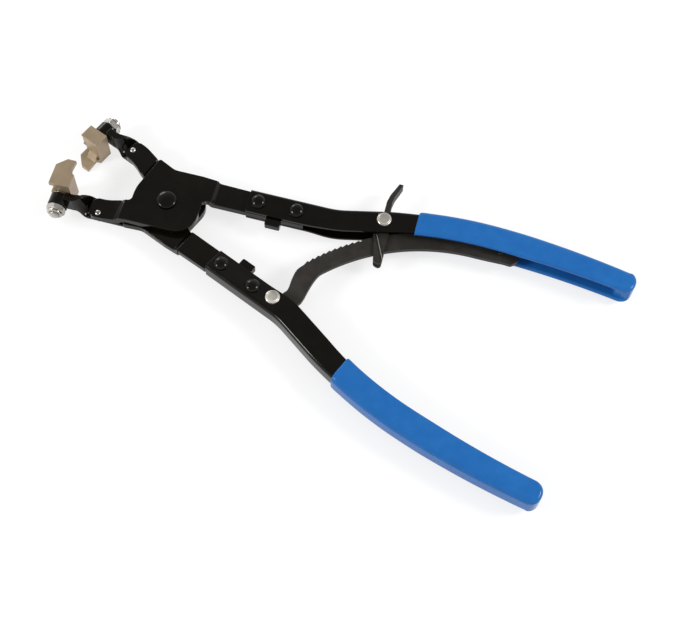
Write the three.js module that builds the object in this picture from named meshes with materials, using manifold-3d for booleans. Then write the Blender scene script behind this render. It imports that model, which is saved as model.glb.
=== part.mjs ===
// Hose clamp pliers with swivelling jaws, a ratchet bar and dipped grips.
// Millimetres, +Z up. The tool lies flat: jaws towards -X, handles towards +X.
// The origin is on the main pivot's axis, at the flat face of the pivot rivet's tail.
// Each half is drawn in a frame of its own: +X along the half, its handle on the +Y side
// and its jaw arm on the -Y side, with z = 0 in the middle of the tool's thickness.

import * as THREE from 'three';
import { mergeVertices } from 'three/addons/utils/BufferGeometryUtils.js';
import Module from 'manifold-3d';

const wasm = await Module();
wasm.setup();

const degrees = THREE.MathUtils.degToRad;

// Fits
const FIT = 0.3;
const SEAT = 0.1;
const OVERRUN = 3;
const ARC_STEP = degrees(12);

// How far each half is turned from the middle line at rest
const HALF_OPENING = degrees(11.5);

// Jaw plates: disc, arm and tang cut from one sheet
const PLATE_T = 3.9;
const DISC_GAP = 0.2;
const DISC_R = 17.4;
const DISC_LOW = 15.8;
const DISC_CORNER_R = 16;
const EAR_X = 10.8;
const EAR_Y = 22.6;
const EAR_FOOT = 3.4;
const EAR_R = 1.2;
const CREST_Y = 18.2;
const CREST_START = 1.5;
const CREST_END = 13.5;
const CREST_R = 8;
const ARM_END = 36.4;
const ARM_INNER = 6.4;
const ARM_OUTER = 17.2;
const ARM_END_R = 5.2;
const ARM_ROOT = 4.7;
const ARM_BEND = 22;
const NOTCH_R = 2.5;
const TANG_INNER = 5;
const TANG_SHOULDER = 22;
const TANG_SHOULDER_Y = 17.6;
const TANG_BLEND_R = 20;
const TANG_EDGE_R = 0.8;
const LUG_START = 50.2;
const LUG_LENGTH = 7.8;
const LUG_FACE = 0.75;
const JOGGLE_TANG = 19.4;
const JOGGLE_RUN = 1.75;

// Main pivot rivet
const PIVOT_SHANK_R = 3;
const PIVOT_HEAD_R = 5;
const PIVOT_HEAD_H = 2.3;
const PIVOT_TAIL_R = 4.7;
const PIVOT_TAIL_H = 2;

// Handle channels: folded sheet, open towards the other handle
const SHEET_T = 1.4;
const CHANNEL_START = 39.3;
const CHANNEL_Y = 11.1;
const CHANNEL_W = 12.2;
const CHANNEL_WAIST_W = 11.4;
const CHANNEL_END_W = 9.5;
const WEB_HALF = 5.1;
const WEB_END_HALF = 5.5;
const PINCH_HALF = 3.6;
const FOLD_R = 2;
const OPENING_RUN = 9.7;
const KINK_R = 48;
const KINK_TURN = degrees(13);
const SLOPE_LENGTH = 20.4;
const BACK_R = 200;
const BACK_TURN = degrees(-15.5);
const TAIL_R = 480;
const TAIL_TURN = degrees(-8);

// Dipped grips
const COAT_OUT = 1.1;
const COAT_IN = 0.7;
const COAT_GAP = 0.25;
const GRIP_PLUG = 8;
const GRIP_TIP = 5.2;

// Handle rivets
const RIVET_Y = 10.9;
const RIVET_FIRST = 44.5;
const RIVET_SECOND = 64.3;
const TANG_MARGIN = 5;
const TANG_END = RIVET_SECOND + TANG_MARGIN;
const PINCHED_RUN = TANG_END - CHANNEL_START;
const RIVET_SHANK_R = 2.2;
const DOME_R = 3.8;
const DOME_H = 2.6;

// Flat bright rivets
const FLAT_HEAD_R = 3.7;
const FLAT_HEAD_H = 1.5;
const FLAT_HEAD_EDGE = 0.4;
const FLAT_SHANK_R = 2;

// Necks: twisted strips under the arms, with an eye for the swivel screw
const NECK_W = 9.4;
const NECK_T = 2;
const NECK_Y = 11.6;
const NECK_FLARE = 2.2;
const NECK_TWIST_RUN = 9;
const NECK_EYE_W = 9.6;
const NECK_EYE_T = 4;
const EYE_R = 5;
const EYE_X = 53;
const EYE_LENGTH = 6;
const NECK_PIN_R = 1.5;
const NECK_PIN_SHANK_R = 0.9;
const NECK_PIN_HEAD = 0.8;
const LOWER_PIN_X = 31.5;
const LOWER_PIN_Y = 14.7;
const UPPER_PIN_X = 34;
const UPPER_PIN_Y = 12.6;
const UPPER_ARM_SHIFT = 1.2;
const LOWER_NECK_SHIFT = 1.5;
const UPPER_NECK_SHIFT = 0.2;

// Swivelling jaws
const JAW_L = 10.7;
const JAW_DEPTH = 7.6;
const JAW_BACK = 8.8;
const JAW_TOP = 9.8;
const JAW_BOTTOM = 6.6;
const NOSE_T = 2.4;
const NOSE_REACH = 15.6;
const JAW_NOTCH = 2;
const JAW_NOTCH_H = 5.9;
const JAW_REBATE = 0.6;
const JAW_WEDGE = 3.4;
const SCREW_R = 2.5;
const SCREW_SEAT = 3;
const SCREW_END = 1.2;
const WASHER_R = 4.3;
const WASHER_T = 0.6;
const NUT_FLATS = 8.6;
const NUT_T = 4.2;

// Ratchet bar
const RATCHET_STEP = 11.7;
const RATCHET_X = RIVET_SECOND + RATCHET_STEP;
const RATCHET_Y = 9.95;
const BAR_T = 2.5;
const BAR_BOSS_R = 5.3;
const BAR_W = 9.2;
const BAR_ARC_R = 95.8;
const BAR_STEP = 6.46;
const BAR_BEARING = degrees(125.56);
const BAR_FORE_LENGTH = 44.6;
const BAR_AFT_LENGTH = 62.05;
const BAR_EDGE_R = BAR_ARC_R + BAR_W;
const BAR_FROM = BAR_BEARING + BAR_FORE_LENGTH / BAR_EDGE_R;
const BAR_TO = BAR_BEARING - BAR_AFT_LENGTH / BAR_EDGE_R;
const BAR_TAIL = 7.8;
const TOOTH_LENGTH = 3.1;
const TOOTH_DEPTH = 0.8;
const TOOTH_COUNT = 11;
const STOP_PIN_R = 1.3;
const STOP_PIN_LENGTH = 4;
const STOP_PIN_INSET = 2.8;
const STOP_PIN_STEP = 2.9;

// Pawl
const PAWL_STEP = 31.9;
const PAWL_X = RATCHET_X + PAWL_STEP;
const GRIP_STEP = 16.1;
const GRIP_START = PAWL_X + GRIP_STEP;
const PAWL_Y = 16.9;
const PAWL_GAP = 3.2;
const CHEEK_T = 0.9;
const PAWL_EYE_R = 3.7;
const PAWL_REACH = 23.7;
const PAWL_W = 6.6;
const PAWL_TIP_R = 2;
const TOOTH_REACH = 8.3;
const TOOTH_OFFSET = 3.6;
const TOOTH_W = 3.6;
const LEVER_FOOT = 3.5;
const LEVER_H = 20.1;
const LEVER_T = 3;
const LEVER_TIP_T = 2;
const LEVER_W = 5.8;
const SLOT_L = 8;
const SLOT_W = 6.6;

// Pawl spring
const WIRE_R = 0.3;
const COIL_R = 2.75;
const COIL_PITCH = 1.1;
const COIL_TURNS = 2;
const COIL_STEPS = 8;
const WIRE_SIDES = 5;
const COIL_LEG = 2.8;

// Finishes
const FINISHES = {
  black: { color: 0x2b2926, roughness: 0.3, metalness: 0.2 },
  grip: { color: 0x2a72b8, roughness: 0.35, metalness: 0 },
  nickel: { color: 0xb5a893, roughness: 0.4, metalness: 0.9 },
  bright: { color: 0xd0cfc8, roughness: 0.25, metalness: 1 },
  bar: { color: 0x54504b, roughness: 0.5, metalness: 0.6 },
};
const materials = {};
for (const [name, look] of Object.entries(FINISHES)) {
  materials[name] = new THREE.MeshStandardMaterial(look);
}

// The stop ear's edge on one half rests against the joggle in the other half's arm
const EAR_TILT = Math.atan((DISC_R - EAR_X) / (EAR_Y - EAR_FOOT));
const EAR_DISTANCE = EAR_X * Math.cos(EAR_TILT) + EAR_Y * Math.sin(EAR_TILT);
const JOGGLE_TILT = 2 * HALF_OPENING - EAR_TILT;

// Where that edge lies at rest in the other half's frame, at a given y
function earEdgeX(y) {
  return y * Math.tan(JOGGLE_TILT) - EAR_DISTANCE / Math.cos(JOGGLE_TILT);
}

// Levels through the tool's thickness, from the middle
const PLATE_HALF = PLATE_T / 2;
const DISC_BOTTOM = DISC_GAP / 2;
const DISC_TOP = DISC_BOTTOM + PLATE_T;
const PIVOT_TAIL_FACE = DISC_TOP + SEAT + PIVOT_TAIL_H;
const JOGGLE_BEND = PLATE_T * Math.tan(Math.atan((DISC_BOTTOM + PLATE_HALF) / JOGGLE_RUN) / 2);

// Turns a closed geometry into a solid that can be joined and cut
function solidOf(geometry) {
  geometry.deleteAttribute('normal');
  geometry.deleteAttribute('uv');
  const merged = mergeVertices(geometry);
  const points = merged.attributes.position.array;
  const corners = [];
  let volume = 0;
  for (let i = 0; i < merged.index.count; i += 3) {
    const [a, b, c] = merged.index.array.slice(i, i + 3);
    if (a === b || b === c || c === a) {
      continue;
    }
    corners.push(a, b, c);
    const [pa, pb, pc] = [a, b, c].map((k) => new THREE.Vector3().fromArray(points, 3 * k));
    volume += pa.dot(pb.cross(pc));
  }
  if (volume < 0) {
    corners.reverse();
  }
  const triVerts = Uint32Array.from(corners);
  return new wasm.Manifold(new wasm.Mesh({ numProp: 3, vertProperties: points, triVerts }));
}

// Turns a solid back into a geometry
function geometryOf(solid) {
  const { vertProperties, triVerts } = solid.getMesh();
  const geometry = new THREE.BufferGeometry();
  geometry.setAttribute('position', new THREE.BufferAttribute(vertProperties, 3));
  geometry.setIndex(new THREE.BufferAttribute(triVerts, 1));
  geometry.computeVertexNormals();
  return geometry;
}

function joined(...solids) {
  return solids.reduce((whole, piece) => whole.add(piece));
}

function cut(solid, ...tools) {
  return tools.reduce((rest, tool) => rest.subtract(tool), solid);
}

// A closed outline from corners [x, y, radius], each radius as an arc
function roundedOutline(corners) {
  const points = [];
  const count = corners.length;
  corners.forEach(([x, y, radius = 0], i) => {
    const here = new THREE.Vector2(x, y);
    const last = corners[(i + count - 1) % count];
    const next = corners[(i + 1) % count];
    const back = new THREE.Vector2(last[0], last[1]).sub(here);
    const ahead = new THREE.Vector2(next[0], next[1]).sub(here);
    const half = back.angleTo(ahead) / 2;
    const reach = Math.min(radius / Math.tan(half), back.length() / 2, ahead.length() / 2);
    if (reach === 0) {
      points.push(here);
      return;
    }
    const arcRadius = reach * Math.tan(half);
    const middle = back.clone().normalize().add(ahead.clone().normalize()).normalize();
    const centre = here.clone().addScaledVector(middle, arcRadius / Math.sin(half));
    const start = here.clone().addScaledVector(back.normalize(), reach).sub(centre);
    const turn = Math.PI - 2 * half;
    const sign = Math.sign(ahead.cross(back));
    const steps = Math.ceil(turn / ARC_STEP);
    for (let k = 0; k <= steps; k += 1) {
      const spoke = start.clone().rotateAround(new THREE.Vector2(), sign * turn * k / steps);
      points.push(centre.clone().add(spoke));
    }
  });
  return new THREE.Shape(points);
}

// A flat piece from its outline, between two levels
function prism(shape, bottom, top) {
  const options = { depth: top - bottom, bevelEnabled: false, curveSegments: 12 };
  return solidOf(new THREE.ExtrudeGeometry(shape, options).translate(0, 0, bottom));
}

function box(x0, x1, y0, y1, z0, z1) {
  const geometry = new THREE.BoxGeometry(x1 - x0, y1 - y0, z1 - z0);
  return solidOf(geometry.translate((x0 + x1) / 2, (y0 + y1) / 2, (z0 + z1) / 2));
}

// A turned piece from [radius, height] pairs, round the Z axis of its place
function turned(profile, x, y, sides = 20) {
  const points = profile.map(([radius, height]) => new THREE.Vector2(radius, height));
  const geometry = new THREE.LatheGeometry(points, sides).rotateX(Math.PI / 2);
  return solidOf(geometry.translate(x, y, 0));
}

function pin(radius, bottom, top, x, y, sides = 18) {
  return turned([[0, bottom], [radius, bottom], [radius, top], [0, top]], x, y, sides);
}

// A solid through matching outlines, each carried by a frame of its own
function loft(stations) {
  const rows = stations.map(({ outline, at, across, up }) => outline.map((p) => (
    at.clone().addScaledVector(across, p.x).addScaledVector(up, p.y)
  )));
  const size = rows[0].length;
  const positions = rows.flat().flatMap((p) => [p.x, p.y, p.z]);
  const index = [];
  for (let row = 0; row < rows.length - 1; row += 1) {
    for (let i = 0; i < size; i += 1) {
      const a = row * size + i;
      const b = row * size + (i + 1) % size;
      index.push(a, b, b + size, a, b + size, a + size);
    }
  }
  const lastRow = (rows.length - 1) * size;
  const first = THREE.ShapeUtils.triangulateShape(stations[0].outline, []);
  const last = THREE.ShapeUtils.triangulateShape(stations.at(-1).outline, []);
  const clockwise = THREE.ShapeUtils.isClockWise(stations[0].outline);
  for (const [a, b, c] of first) {
    index.push(...(clockwise ? [a, b, c] : [c, b, a]));
  }
  for (const [a, b, c] of last) {
    index.push(...(clockwise ? [c, b, a] : [a, b, c]).map((k) => lastRow + k));
  }
  const geometry = new THREE.BufferGeometry();
  geometry.setAttribute('position', new THREE.Float32BufferAttribute(positions, 3));
  geometry.setIndex(index);
  return solidOf(geometry);
}

// A value that follows straight lines between [place, value] pairs
function between(place, pairs) {
  const after = pairs.findIndex(([mark]) => mark >= place);
  if (after === 0) {
    return pairs[0][1];
  }
  if (after < 0) {
    return pairs.at(-1)[1];
  }
  const [[x0, v0], [x1, v1]] = pairs.slice(after - 1, after + 1);
  return THREE.MathUtils.mapLinear(place, x0, x1, v0, v1);
}

// The handle's middle line: straight runs and arcs, one after the other
const HANDLE_RUNS = [
  { length: PINCHED_RUN + OPENING_RUN, turn: 0 },
  { length: KINK_R * KINK_TURN, turn: KINK_TURN },
  { length: SLOPE_LENGTH, turn: 0 },
  { length: BACK_R * Math.abs(BACK_TURN), turn: BACK_TURN },
  { length: TAIL_R * Math.abs(TAIL_TURN), turn: TAIL_TURN },
];
const HANDLE_LENGTH = HANDLE_RUNS.reduce((sum, run) => sum + run.length, 0);
const SLOPE_END = PINCHED_RUN + OPENING_RUN + KINK_R * KINK_TURN + SLOPE_LENGTH;

// The place and heading of the middle line at a distance along it
function handlePlace(distance) {
  let x = CHANNEL_START;
  let y = CHANNEL_Y;
  let heading = 0;
  let left = distance;
  for (const run of HANDLE_RUNS) {
    const last = run === HANDLE_RUNS.at(-1);
    const part = last ? left : Math.min(left, run.length);
    const turn = run.turn * part / run.length;
    const chord = turn === 0 ? part : part * Math.sin(turn / 2) / (turn / 2);
    x += chord * Math.cos(heading + turn / 2);
    y += chord * Math.sin(heading + turn / 2);
    heading += turn;
    left -= part;
    if (left <= 0) {
      break;
    }
  }
  return { x, y, heading };
}

// The channel's sizes at a distance along the handle
function channelSizes(distance) {
  const opening = THREE.MathUtils.smoothstep(
    distance, PINCHED_RUN, PINCHED_RUN + OPENING_RUN + KINK_R * KINK_TURN / 2);
  const gripAt = GRIP_START - CHANNEL_START;
  const width = between(distance, [
    [SLOPE_END, CHANNEL_W],
    [gripAt, CHANNEL_WAIST_W],
    [(gripAt + HANDLE_LENGTH) / 2, CHANNEL_WAIST_W],
    [HANDLE_LENGTH, CHANNEL_END_W],
  ]);
  const web = between(distance, [[gripAt, WEB_HALF], [HANDLE_LENGTH, WEB_END_HALF]]);
  return { width, web, tip: THREE.MathUtils.lerp(PINCH_HALF, web, opening) };
}

// The distance along the handle at which the middle line passes a given x
function distanceAt(x) {
  let low = 0;
  let high = HANDLE_LENGTH;
  while (high - low > HANDLE_LENGTH * 1e-6) {
    const middle = (low + high) / 2;
    if (handlePlace(middle).x < x) {
      low = middle;
    } else {
      high = middle;
    }
  }
  return low;
}

// A folded section: x runs out to the web, y through the thickness
function foldedSection({ width, web, tip }, grow, sheet) {
  const points = [];
  const outX = width / 2 + grow;
  const foldR = FOLD_R + grow;
  const innerR = Math.max(foldR - sheet, 0.2 * FOLD_R);
  const innerX = outX - sheet;
  const innerZ = web + grow - sheet;
  const outerFoldSteps = 3;
  const innerFoldSteps = 2;
  for (const side of [1, -1]) {
    const outer = [];
    outer.push([-outX, tip + grow]);
    for (let k = 0; k <= outerFoldSteps; k += 1) {
      const angle = Math.PI / 2 * (1 - k / outerFoldSteps);
      outer.push([outX - foldR + foldR * Math.cos(angle),
        web + grow - foldR + foldR * Math.sin(angle)]);
    }
    const ordered = side === 1 ? outer : outer.reverse();
    points.push(...ordered.map(([x, z]) => new THREE.Vector2(x, side * z)));
  }
  for (const side of [-1, 1]) {
    const inner = [];
    inner.push([-outX, tip + grow - sheet]);
    for (let k = 0; k <= innerFoldSteps; k += 1) {
      const angle = Math.PI / 2 * (1 - k / innerFoldSteps);
      inner.push([innerX - innerR + innerR * Math.cos(angle),
        innerZ - innerR + innerR * Math.sin(angle)]);
    }
    const ordered = side === -1 ? inner : inner.reverse();
    points.push(...ordered.map(([x, z]) => new THREE.Vector2(x, side * z)));
  }
  return points;
}

function handleStation(distance, outline) {
  const { x, y, heading } = handlePlace(distance);
  return {
    outline,
    at: new THREE.Vector3(x, y, 0),
    across: new THREE.Vector3(-Math.sin(heading), Math.cos(heading), 0),
    up: new THREE.Vector3(0, 0, 1),
  };
}

function spread(from, to, steps) {
  return Array.from({ length: steps + 1 }, (_, k) => from + (to - from) * k / steps);
}

function foldedRun(distances, grow, sheet) {
  return loft(distances.map((distance) => (
    handleStation(distance, foldedSection(channelSizes(distance), grow, sheet))
  )));
}

// The flange's outer face at a distance and an offset from the middle line
function flangeAt(distance, offset) {
  const { width, web, tip } = channelSizes(distance);
  const slope = (web - tip) / (width - FOLD_R);
  return { level: tip + slope * (offset + width / 2), tilt: Math.atan(slope) };
}

// Handle channel, with holes for its rivets and any cuts of its own
function handleChannel(holes, ...cuts) {
  const kinkStart = PINCHED_RUN + OPENING_RUN;
  const slopeStart = kinkStart + KINK_R * KINK_TURN;
  const backEnd = SLOPE_END + BACK_R * Math.abs(BACK_TURN);
  const distances = [
    0,
    ...spread(PINCHED_RUN, kinkStart, 3),
    ...spread(kinkStart, slopeStart, 4).slice(1),
    SLOPE_END,
    ...spread(SLOPE_END, backEnd, 5).slice(1),
    ...spread(backEnd, HANDLE_LENGTH, 4).slice(1),
  ];
  const tools = holes.map(([x, y, radius]) => pin(radius + FIT, -2 * WEB_HALF, 2 * WEB_HALF, x, y));
  return cut(foldedRun(distances, 0, SHEET_T), ...tools, ...cuts);
}

// Dipped grip: a coat inside and outside the channel, closed by a round solid tip
function handleGrip() {
  const start = distanceAt(GRIP_START) - OVERRUN;
  const end = HANDLE_LENGTH;
  const distances = spread(start, end, 9);
  const coatEnd = [end - GRIP_PLUG + COAT_OUT];
  const coatMarks = distances.filter((distance) => distance < end - GRIP_PLUG).concat(coatEnd);
  const coat = foldedRun(coatMarks, COAT_OUT, SHEET_T + COAT_OUT + COAT_IN);
  const plugStations = [];
  const plugMarks = [-GRIP_PLUG, 0, ...spread(0, Math.PI / 2, 5).slice(1, -1)
    .map((angle) => GRIP_TIP * Math.sin(angle)), GRIP_TIP * Math.sin(degrees(86))];
  for (const mark of plugMarks) {
    const { width, web } = channelSizes(Math.min(end, end + mark));
    const share = Math.sqrt(1 - Math.max(mark / GRIP_TIP, 0) ** 2);
    const halfW = (width / 2 + COAT_OUT) * share;
    const halfH = (web + COAT_OUT) * (1 - (1 - share) ** 2 / 4);
    const round = Math.min(FOLD_R + COAT_OUT, 0.9 * halfW);
    const corners = [[halfW, halfH], [-halfW, halfH], [-halfW, -halfH], [halfW, -halfH]];
    const outline = [];
    corners.forEach(([x, z], quadrant) => {
      for (let k = 0; k <= 3; k += 1) {
        const angle = Math.PI / 2 * (quadrant + k / 3);
        outline.push(new THREE.Vector2(
          x - Math.sign(x) * round + round * Math.cos(angle),
          z - Math.sign(z) * round + round * Math.sin(angle)));
      }
    });
    plugStations.push(handleStation(end + mark, outline));
  }
  const pocketMarks = [...distances.slice(0, -1), end + COAT_GAP];
  const pocket = foldedRun(pocketMarks, COAT_GAP, SHEET_T + 2 * COAT_GAP);
  const waste = box(CHANNEL_START, GRIP_START, -CHANNEL_W, 4 * CHANNEL_W, -3 * WEB_HALF, 3 * WEB_HALF);
  return cut(joined(coat, loft(plugStations)), pocket, waste);
}

// The plate seen from its edge, at a given y: the disc lies higher than the arm and the tang
function plateProfile(y) {
  const left = earEdgeX(y) - FIT;
  const right = JOGGLE_TANG + JOGGLE_RUN;
  return [
    [-ARM_END - OVERRUN, -PLATE_HALF],
    [left - JOGGLE_RUN, -PLATE_HALF],
    [left, DISC_BOTTOM],
    [JOGGLE_TANG, DISC_BOTTOM],
    [right, -PLATE_HALF],
    [TANG_END + OVERRUN, -PLATE_HALF],
    [TANG_END + OVERRUN, PLATE_HALF],
    [right + JOGGLE_BEND, PLATE_HALF],
    [JOGGLE_TANG + JOGGLE_BEND, DISC_TOP],
    [left - JOGGLE_BEND, DISC_TOP],
    [left - JOGGLE_RUN - JOGGLE_BEND, PLATE_HALF],
    [-ARM_END - OVERRUN, PLATE_HALF],
  ].map(([x, z]) => new THREE.Vector2(x, z));
}

// Jaw plate: outline seen from above, cut to the joggled profile seen from the side
function jawPlate(pinX, pinY, armShift) {
  const tangOuter = CHANNEL_Y + CHANNEL_W / 2 - SHEET_T - FIT;
  const outline = roundedOutline([
    [TANG_END, TANG_INNER, TANG_EDGE_R],
    [TANG_END, tangOuter, TANG_EDGE_R],
    [CHANNEL_START - FIT, tangOuter, 0],
    [CHANNEL_START - FIT, CHANNEL_Y + CHANNEL_W / 2, TANG_EDGE_R],
    [TANG_SHOULDER, TANG_SHOULDER_Y, TANG_BLEND_R],
    [CREST_END, CREST_Y, CREST_R],
    [-CREST_START, CREST_Y, CREST_R],
    [-EAR_X, EAR_Y, EAR_R],
    [-DISC_R, EAR_FOOT, DISC_R],
    [-DISC_R, -ARM_ROOT, NOTCH_R],
    [-ARM_BEND, -ARM_ROOT, ARM_END_R],
    [-(ARM_BEND + ARM_END) / 2, -ARM_INNER - armShift, DISC_R],
    [-ARM_END, -ARM_INNER - armShift, ARM_END_R],
    [-ARM_END, -ARM_OUTER - armShift, ARM_END_R],
    [-(ARM_BEND + ARM_END) / 2, -ARM_OUTER - armShift, DISC_R],
    [-DISC_R, -DISC_LOW, DISC_R],
    [DISC_R, -DISC_LOW, DISC_CORNER_R],
    [DISC_R, TANG_INNER, NOTCH_R],
    [LUG_START, TANG_INNER, TANG_EDGE_R],
    [LUG_START, LUG_FACE, TANG_EDGE_R],
    [LUG_START + LUG_LENGTH, LUG_FACE, TANG_EDGE_R],
    [LUG_START + LUG_LENGTH, TANG_INNER, TANG_EDGE_R],
  ]);
  const reach = EAR_Y + OVERRUN;
  const sides = [reach, -reach].map((y) => ({
    outline: plateProfile(y),
    at: new THREE.Vector3(0, y, 0),
    across: new THREE.Vector3(1, 0, 0),
    up: new THREE.Vector3(0, 0, 1),
  }));
  const plate = prism(outline, -2 * PLATE_T, 2 * PLATE_T).intersect(loft(sides));
  const holes = [
    [0, 0, PIVOT_SHANK_R],
    [RIVET_FIRST, RIVET_Y, RIVET_SHANK_R],
    [RIVET_SECOND, RIVET_Y, RIVET_SHANK_R],
    [-pinX, -pinY, NECK_PIN_SHANK_R],
  ];
  const tools = holes.map(([x, y, radius]) => pin(radius + FIT, -2 * PLATE_T, 2 * PLATE_T, x, y));
  return cut(plate, ...tools);
}

// Twisted neck; side is -1 or +1 for the face of the arm that its tongue lies on
function jawNeck(side, pinX, pinY, armShift, neckShift) {
  const tongueZ = side * (PLATE_HALF + SEAT + NECK_T / 2);
  const eyeY = -(JAW_BACK + SEAT + FIT + WASHER_T + EYE_LENGTH / 2);
  const twistStart = ARM_END + FIT;
  const twistEnd = twistStart + NECK_TWIST_RUN;
  const earAt = -earEdgeX(-ARM_OUTER);
  const start = side < 0 ? earAt + 3 * FIT : earAt + 2 * FIT + JOGGLE_RUN + JOGGLE_BEND;
  const marks = [start, ARM_END - NECK_FLARE, ...spread(twistStart, twistEnd, 7), EYE_X - EYE_R / 2];
  const stations = marks.map((mark) => {
    const share = THREE.MathUtils.clamp((mark - twistStart) / NECK_TWIST_RUN, 0, 1);
    const twist = Math.sin(share * Math.PI / 2);
    const angle = twist * Math.PI / 2;
    const flare = mark < twistStart ? 0 : NECK_FLARE * (1 - share);
    const halfW = (THREE.MathUtils.lerp(NECK_W, NECK_EYE_W, share) + flare) / 2;
    const halfT = THREE.MathUtils.lerp(NECK_T, NECK_EYE_T, share) / 2;
    const corners = [[halfW, halfT], [-halfW, halfT], [-halfW, -halfT], [halfW, -halfT]];
    const middle = THREE.MathUtils.lerp(-NECK_Y - armShift, eyeY + neckShift, twist);
    return {
      outline: corners.map(([x, y]) => new THREE.Vector2(x, y)),
      at: new THREE.Vector3(-mark, middle - side * flare / 2, tongueZ * (1 - twist)),
      across: new THREE.Vector3(0, Math.cos(angle), Math.sin(angle)),
      up: new THREE.Vector3(0, -Math.sin(angle), Math.cos(angle)),
    };
  });
  const eyeBottom = eyeY - EYE_LENGTH / 2;
  const eye = alongY([[0, 0], [EYE_R, 0], [EYE_R, EYE_LENGTH], [0, EYE_LENGTH]], eyeBottom);
  const bore = alongY(
    [[0, -OVERRUN], [SCREW_R + FIT, -OVERRUN], [SCREW_R + FIT, 2 * EYE_LENGTH], [0, 2 * EYE_LENGTH]],
    eyeBottom);
  const hole = pin(NECK_PIN_SHANK_R + FIT, -3 * PLATE_T, 3 * PLATE_T, -pinX, -pinY);
  const swingR = Math.hypot(JAW_L / 2, JAW_TOP) + FIT;
  const step = FIT + WASHER_T;
  const swing = alongY([
    [0, 0],
    [WASHER_R + FIT, 0],
    [WASHER_R + FIT, step],
    [swingR, step],
    [swingR, 2 * JAW_DEPTH],
    [0, 2 * JAW_DEPTH],
  ], eyeY + EYE_LENGTH / 2, 48);
  return cut(joined(loft(stations), eye), bore, hole, swing);
}

// A turned piece round the swivel axis, its heights running along +Y from a level
function alongY(profile, level, sides = 20) {
  const points = profile.map(([radius, height]) => new THREE.Vector2(radius, height));
  return solidOf(new THREE.LatheGeometry(points, sides).translate(-EYE_X, level, 0));
}

// Small pin that holds the neck's tongue under the arm
function neckPin(side, x, y) {
  const far = side * (PLATE_HALF + SEAT + NECK_T + SEAT);
  const near = -side * (PLATE_HALF + SEAT);
  const low = Math.min(far, near);
  const high = Math.max(far, near);
  const inset = NECK_PIN_HEAD / 2;
  return turned([
    [0, low - NECK_PIN_HEAD],
    [NECK_PIN_R - inset, low - NECK_PIN_HEAD],
    [NECK_PIN_R, low - inset],
    [NECK_PIN_R, low],
    [NECK_PIN_SHANK_R, low],
    [NECK_PIN_SHANK_R, high],
    [NECK_PIN_R, high],
    [NECK_PIN_R, high + inset],
    [NECK_PIN_R - inset, high + NECK_PIN_HEAD],
    [0, high + NECK_PIN_HEAD],
  ], -x, -y, 16);
}

// Main pivot rivet, low dome above and flat tail below
function pivotRivet() {
  const seat = DISC_TOP + SEAT;
  const rim = PIVOT_HEAD_H / 4;
  const rise = PIVOT_HEAD_H - rim;
  const dome = spread(0, Math.PI / 2, 5).map((angle) => (
    [PIVOT_HEAD_R * Math.cos(angle), seat + rim + rise * Math.sin(angle)]
  ));
  dome.at(-1)[0] = 0;
  return turned([
    [0, -seat - PIVOT_TAIL_H],
    [PIVOT_TAIL_R - rim, -seat - PIVOT_TAIL_H],
    [PIVOT_TAIL_R, -seat - PIVOT_TAIL_H + rim],
    [PIVOT_TAIL_R, -seat],
    [PIVOT_SHANK_R, -seat],
    [PIVOT_SHANK_R, seat],
    [PIVOT_HEAD_R, seat],
    ...dome,
  ], 0, 0);
}

// Rivet through both flanges; its heads lie on the flanges' slope
function flangeRivet(x, y, shankR, head) {
  const distance = distanceAt(x);
  const place = handlePlace(distance);
  const offset = (y - place.y) / Math.cos(place.heading);
  const { level, tilt } = flangeAt(distance, offset);
  const top = turned(head, 0, 0).rotate([THREE.MathUtils.radToDeg(tilt), 0, 0]);
  const above = top.translate([x, y, level]);
  const below = above.mirror([0, 0, 1]);
  const bed = foldedRun(spread(distance - 2 * DOME_R, distance + 2 * DOME_R, 6), SEAT, SHEET_T + 2 * SEAT);
  const shank = pin(shankR, -level - SEAT * 2, level + SEAT * 2, x, y);
  return joined(cut(joined(above, below), bed), shank);
}

function domeHead() {
  const dome = spread(0, Math.PI / 2, 4).map((angle) => (
    [DOME_R * Math.cos(angle), DOME_H * Math.sin(angle)]
  ));
  dome.at(-1)[0] = 0;
  return [[0, -FIT], [DOME_R, -FIT], ...dome];
}

function flatHead() {
  return [
    [0, -FIT],
    [FLAT_HEAD_R, -FIT],
    [FLAT_HEAD_R, FLAT_HEAD_H - FLAT_HEAD_EDGE],
    [FLAT_HEAD_R - FLAT_HEAD_EDGE, FLAT_HEAD_H],
    [0, FLAT_HEAD_H],
  ];
}

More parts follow.
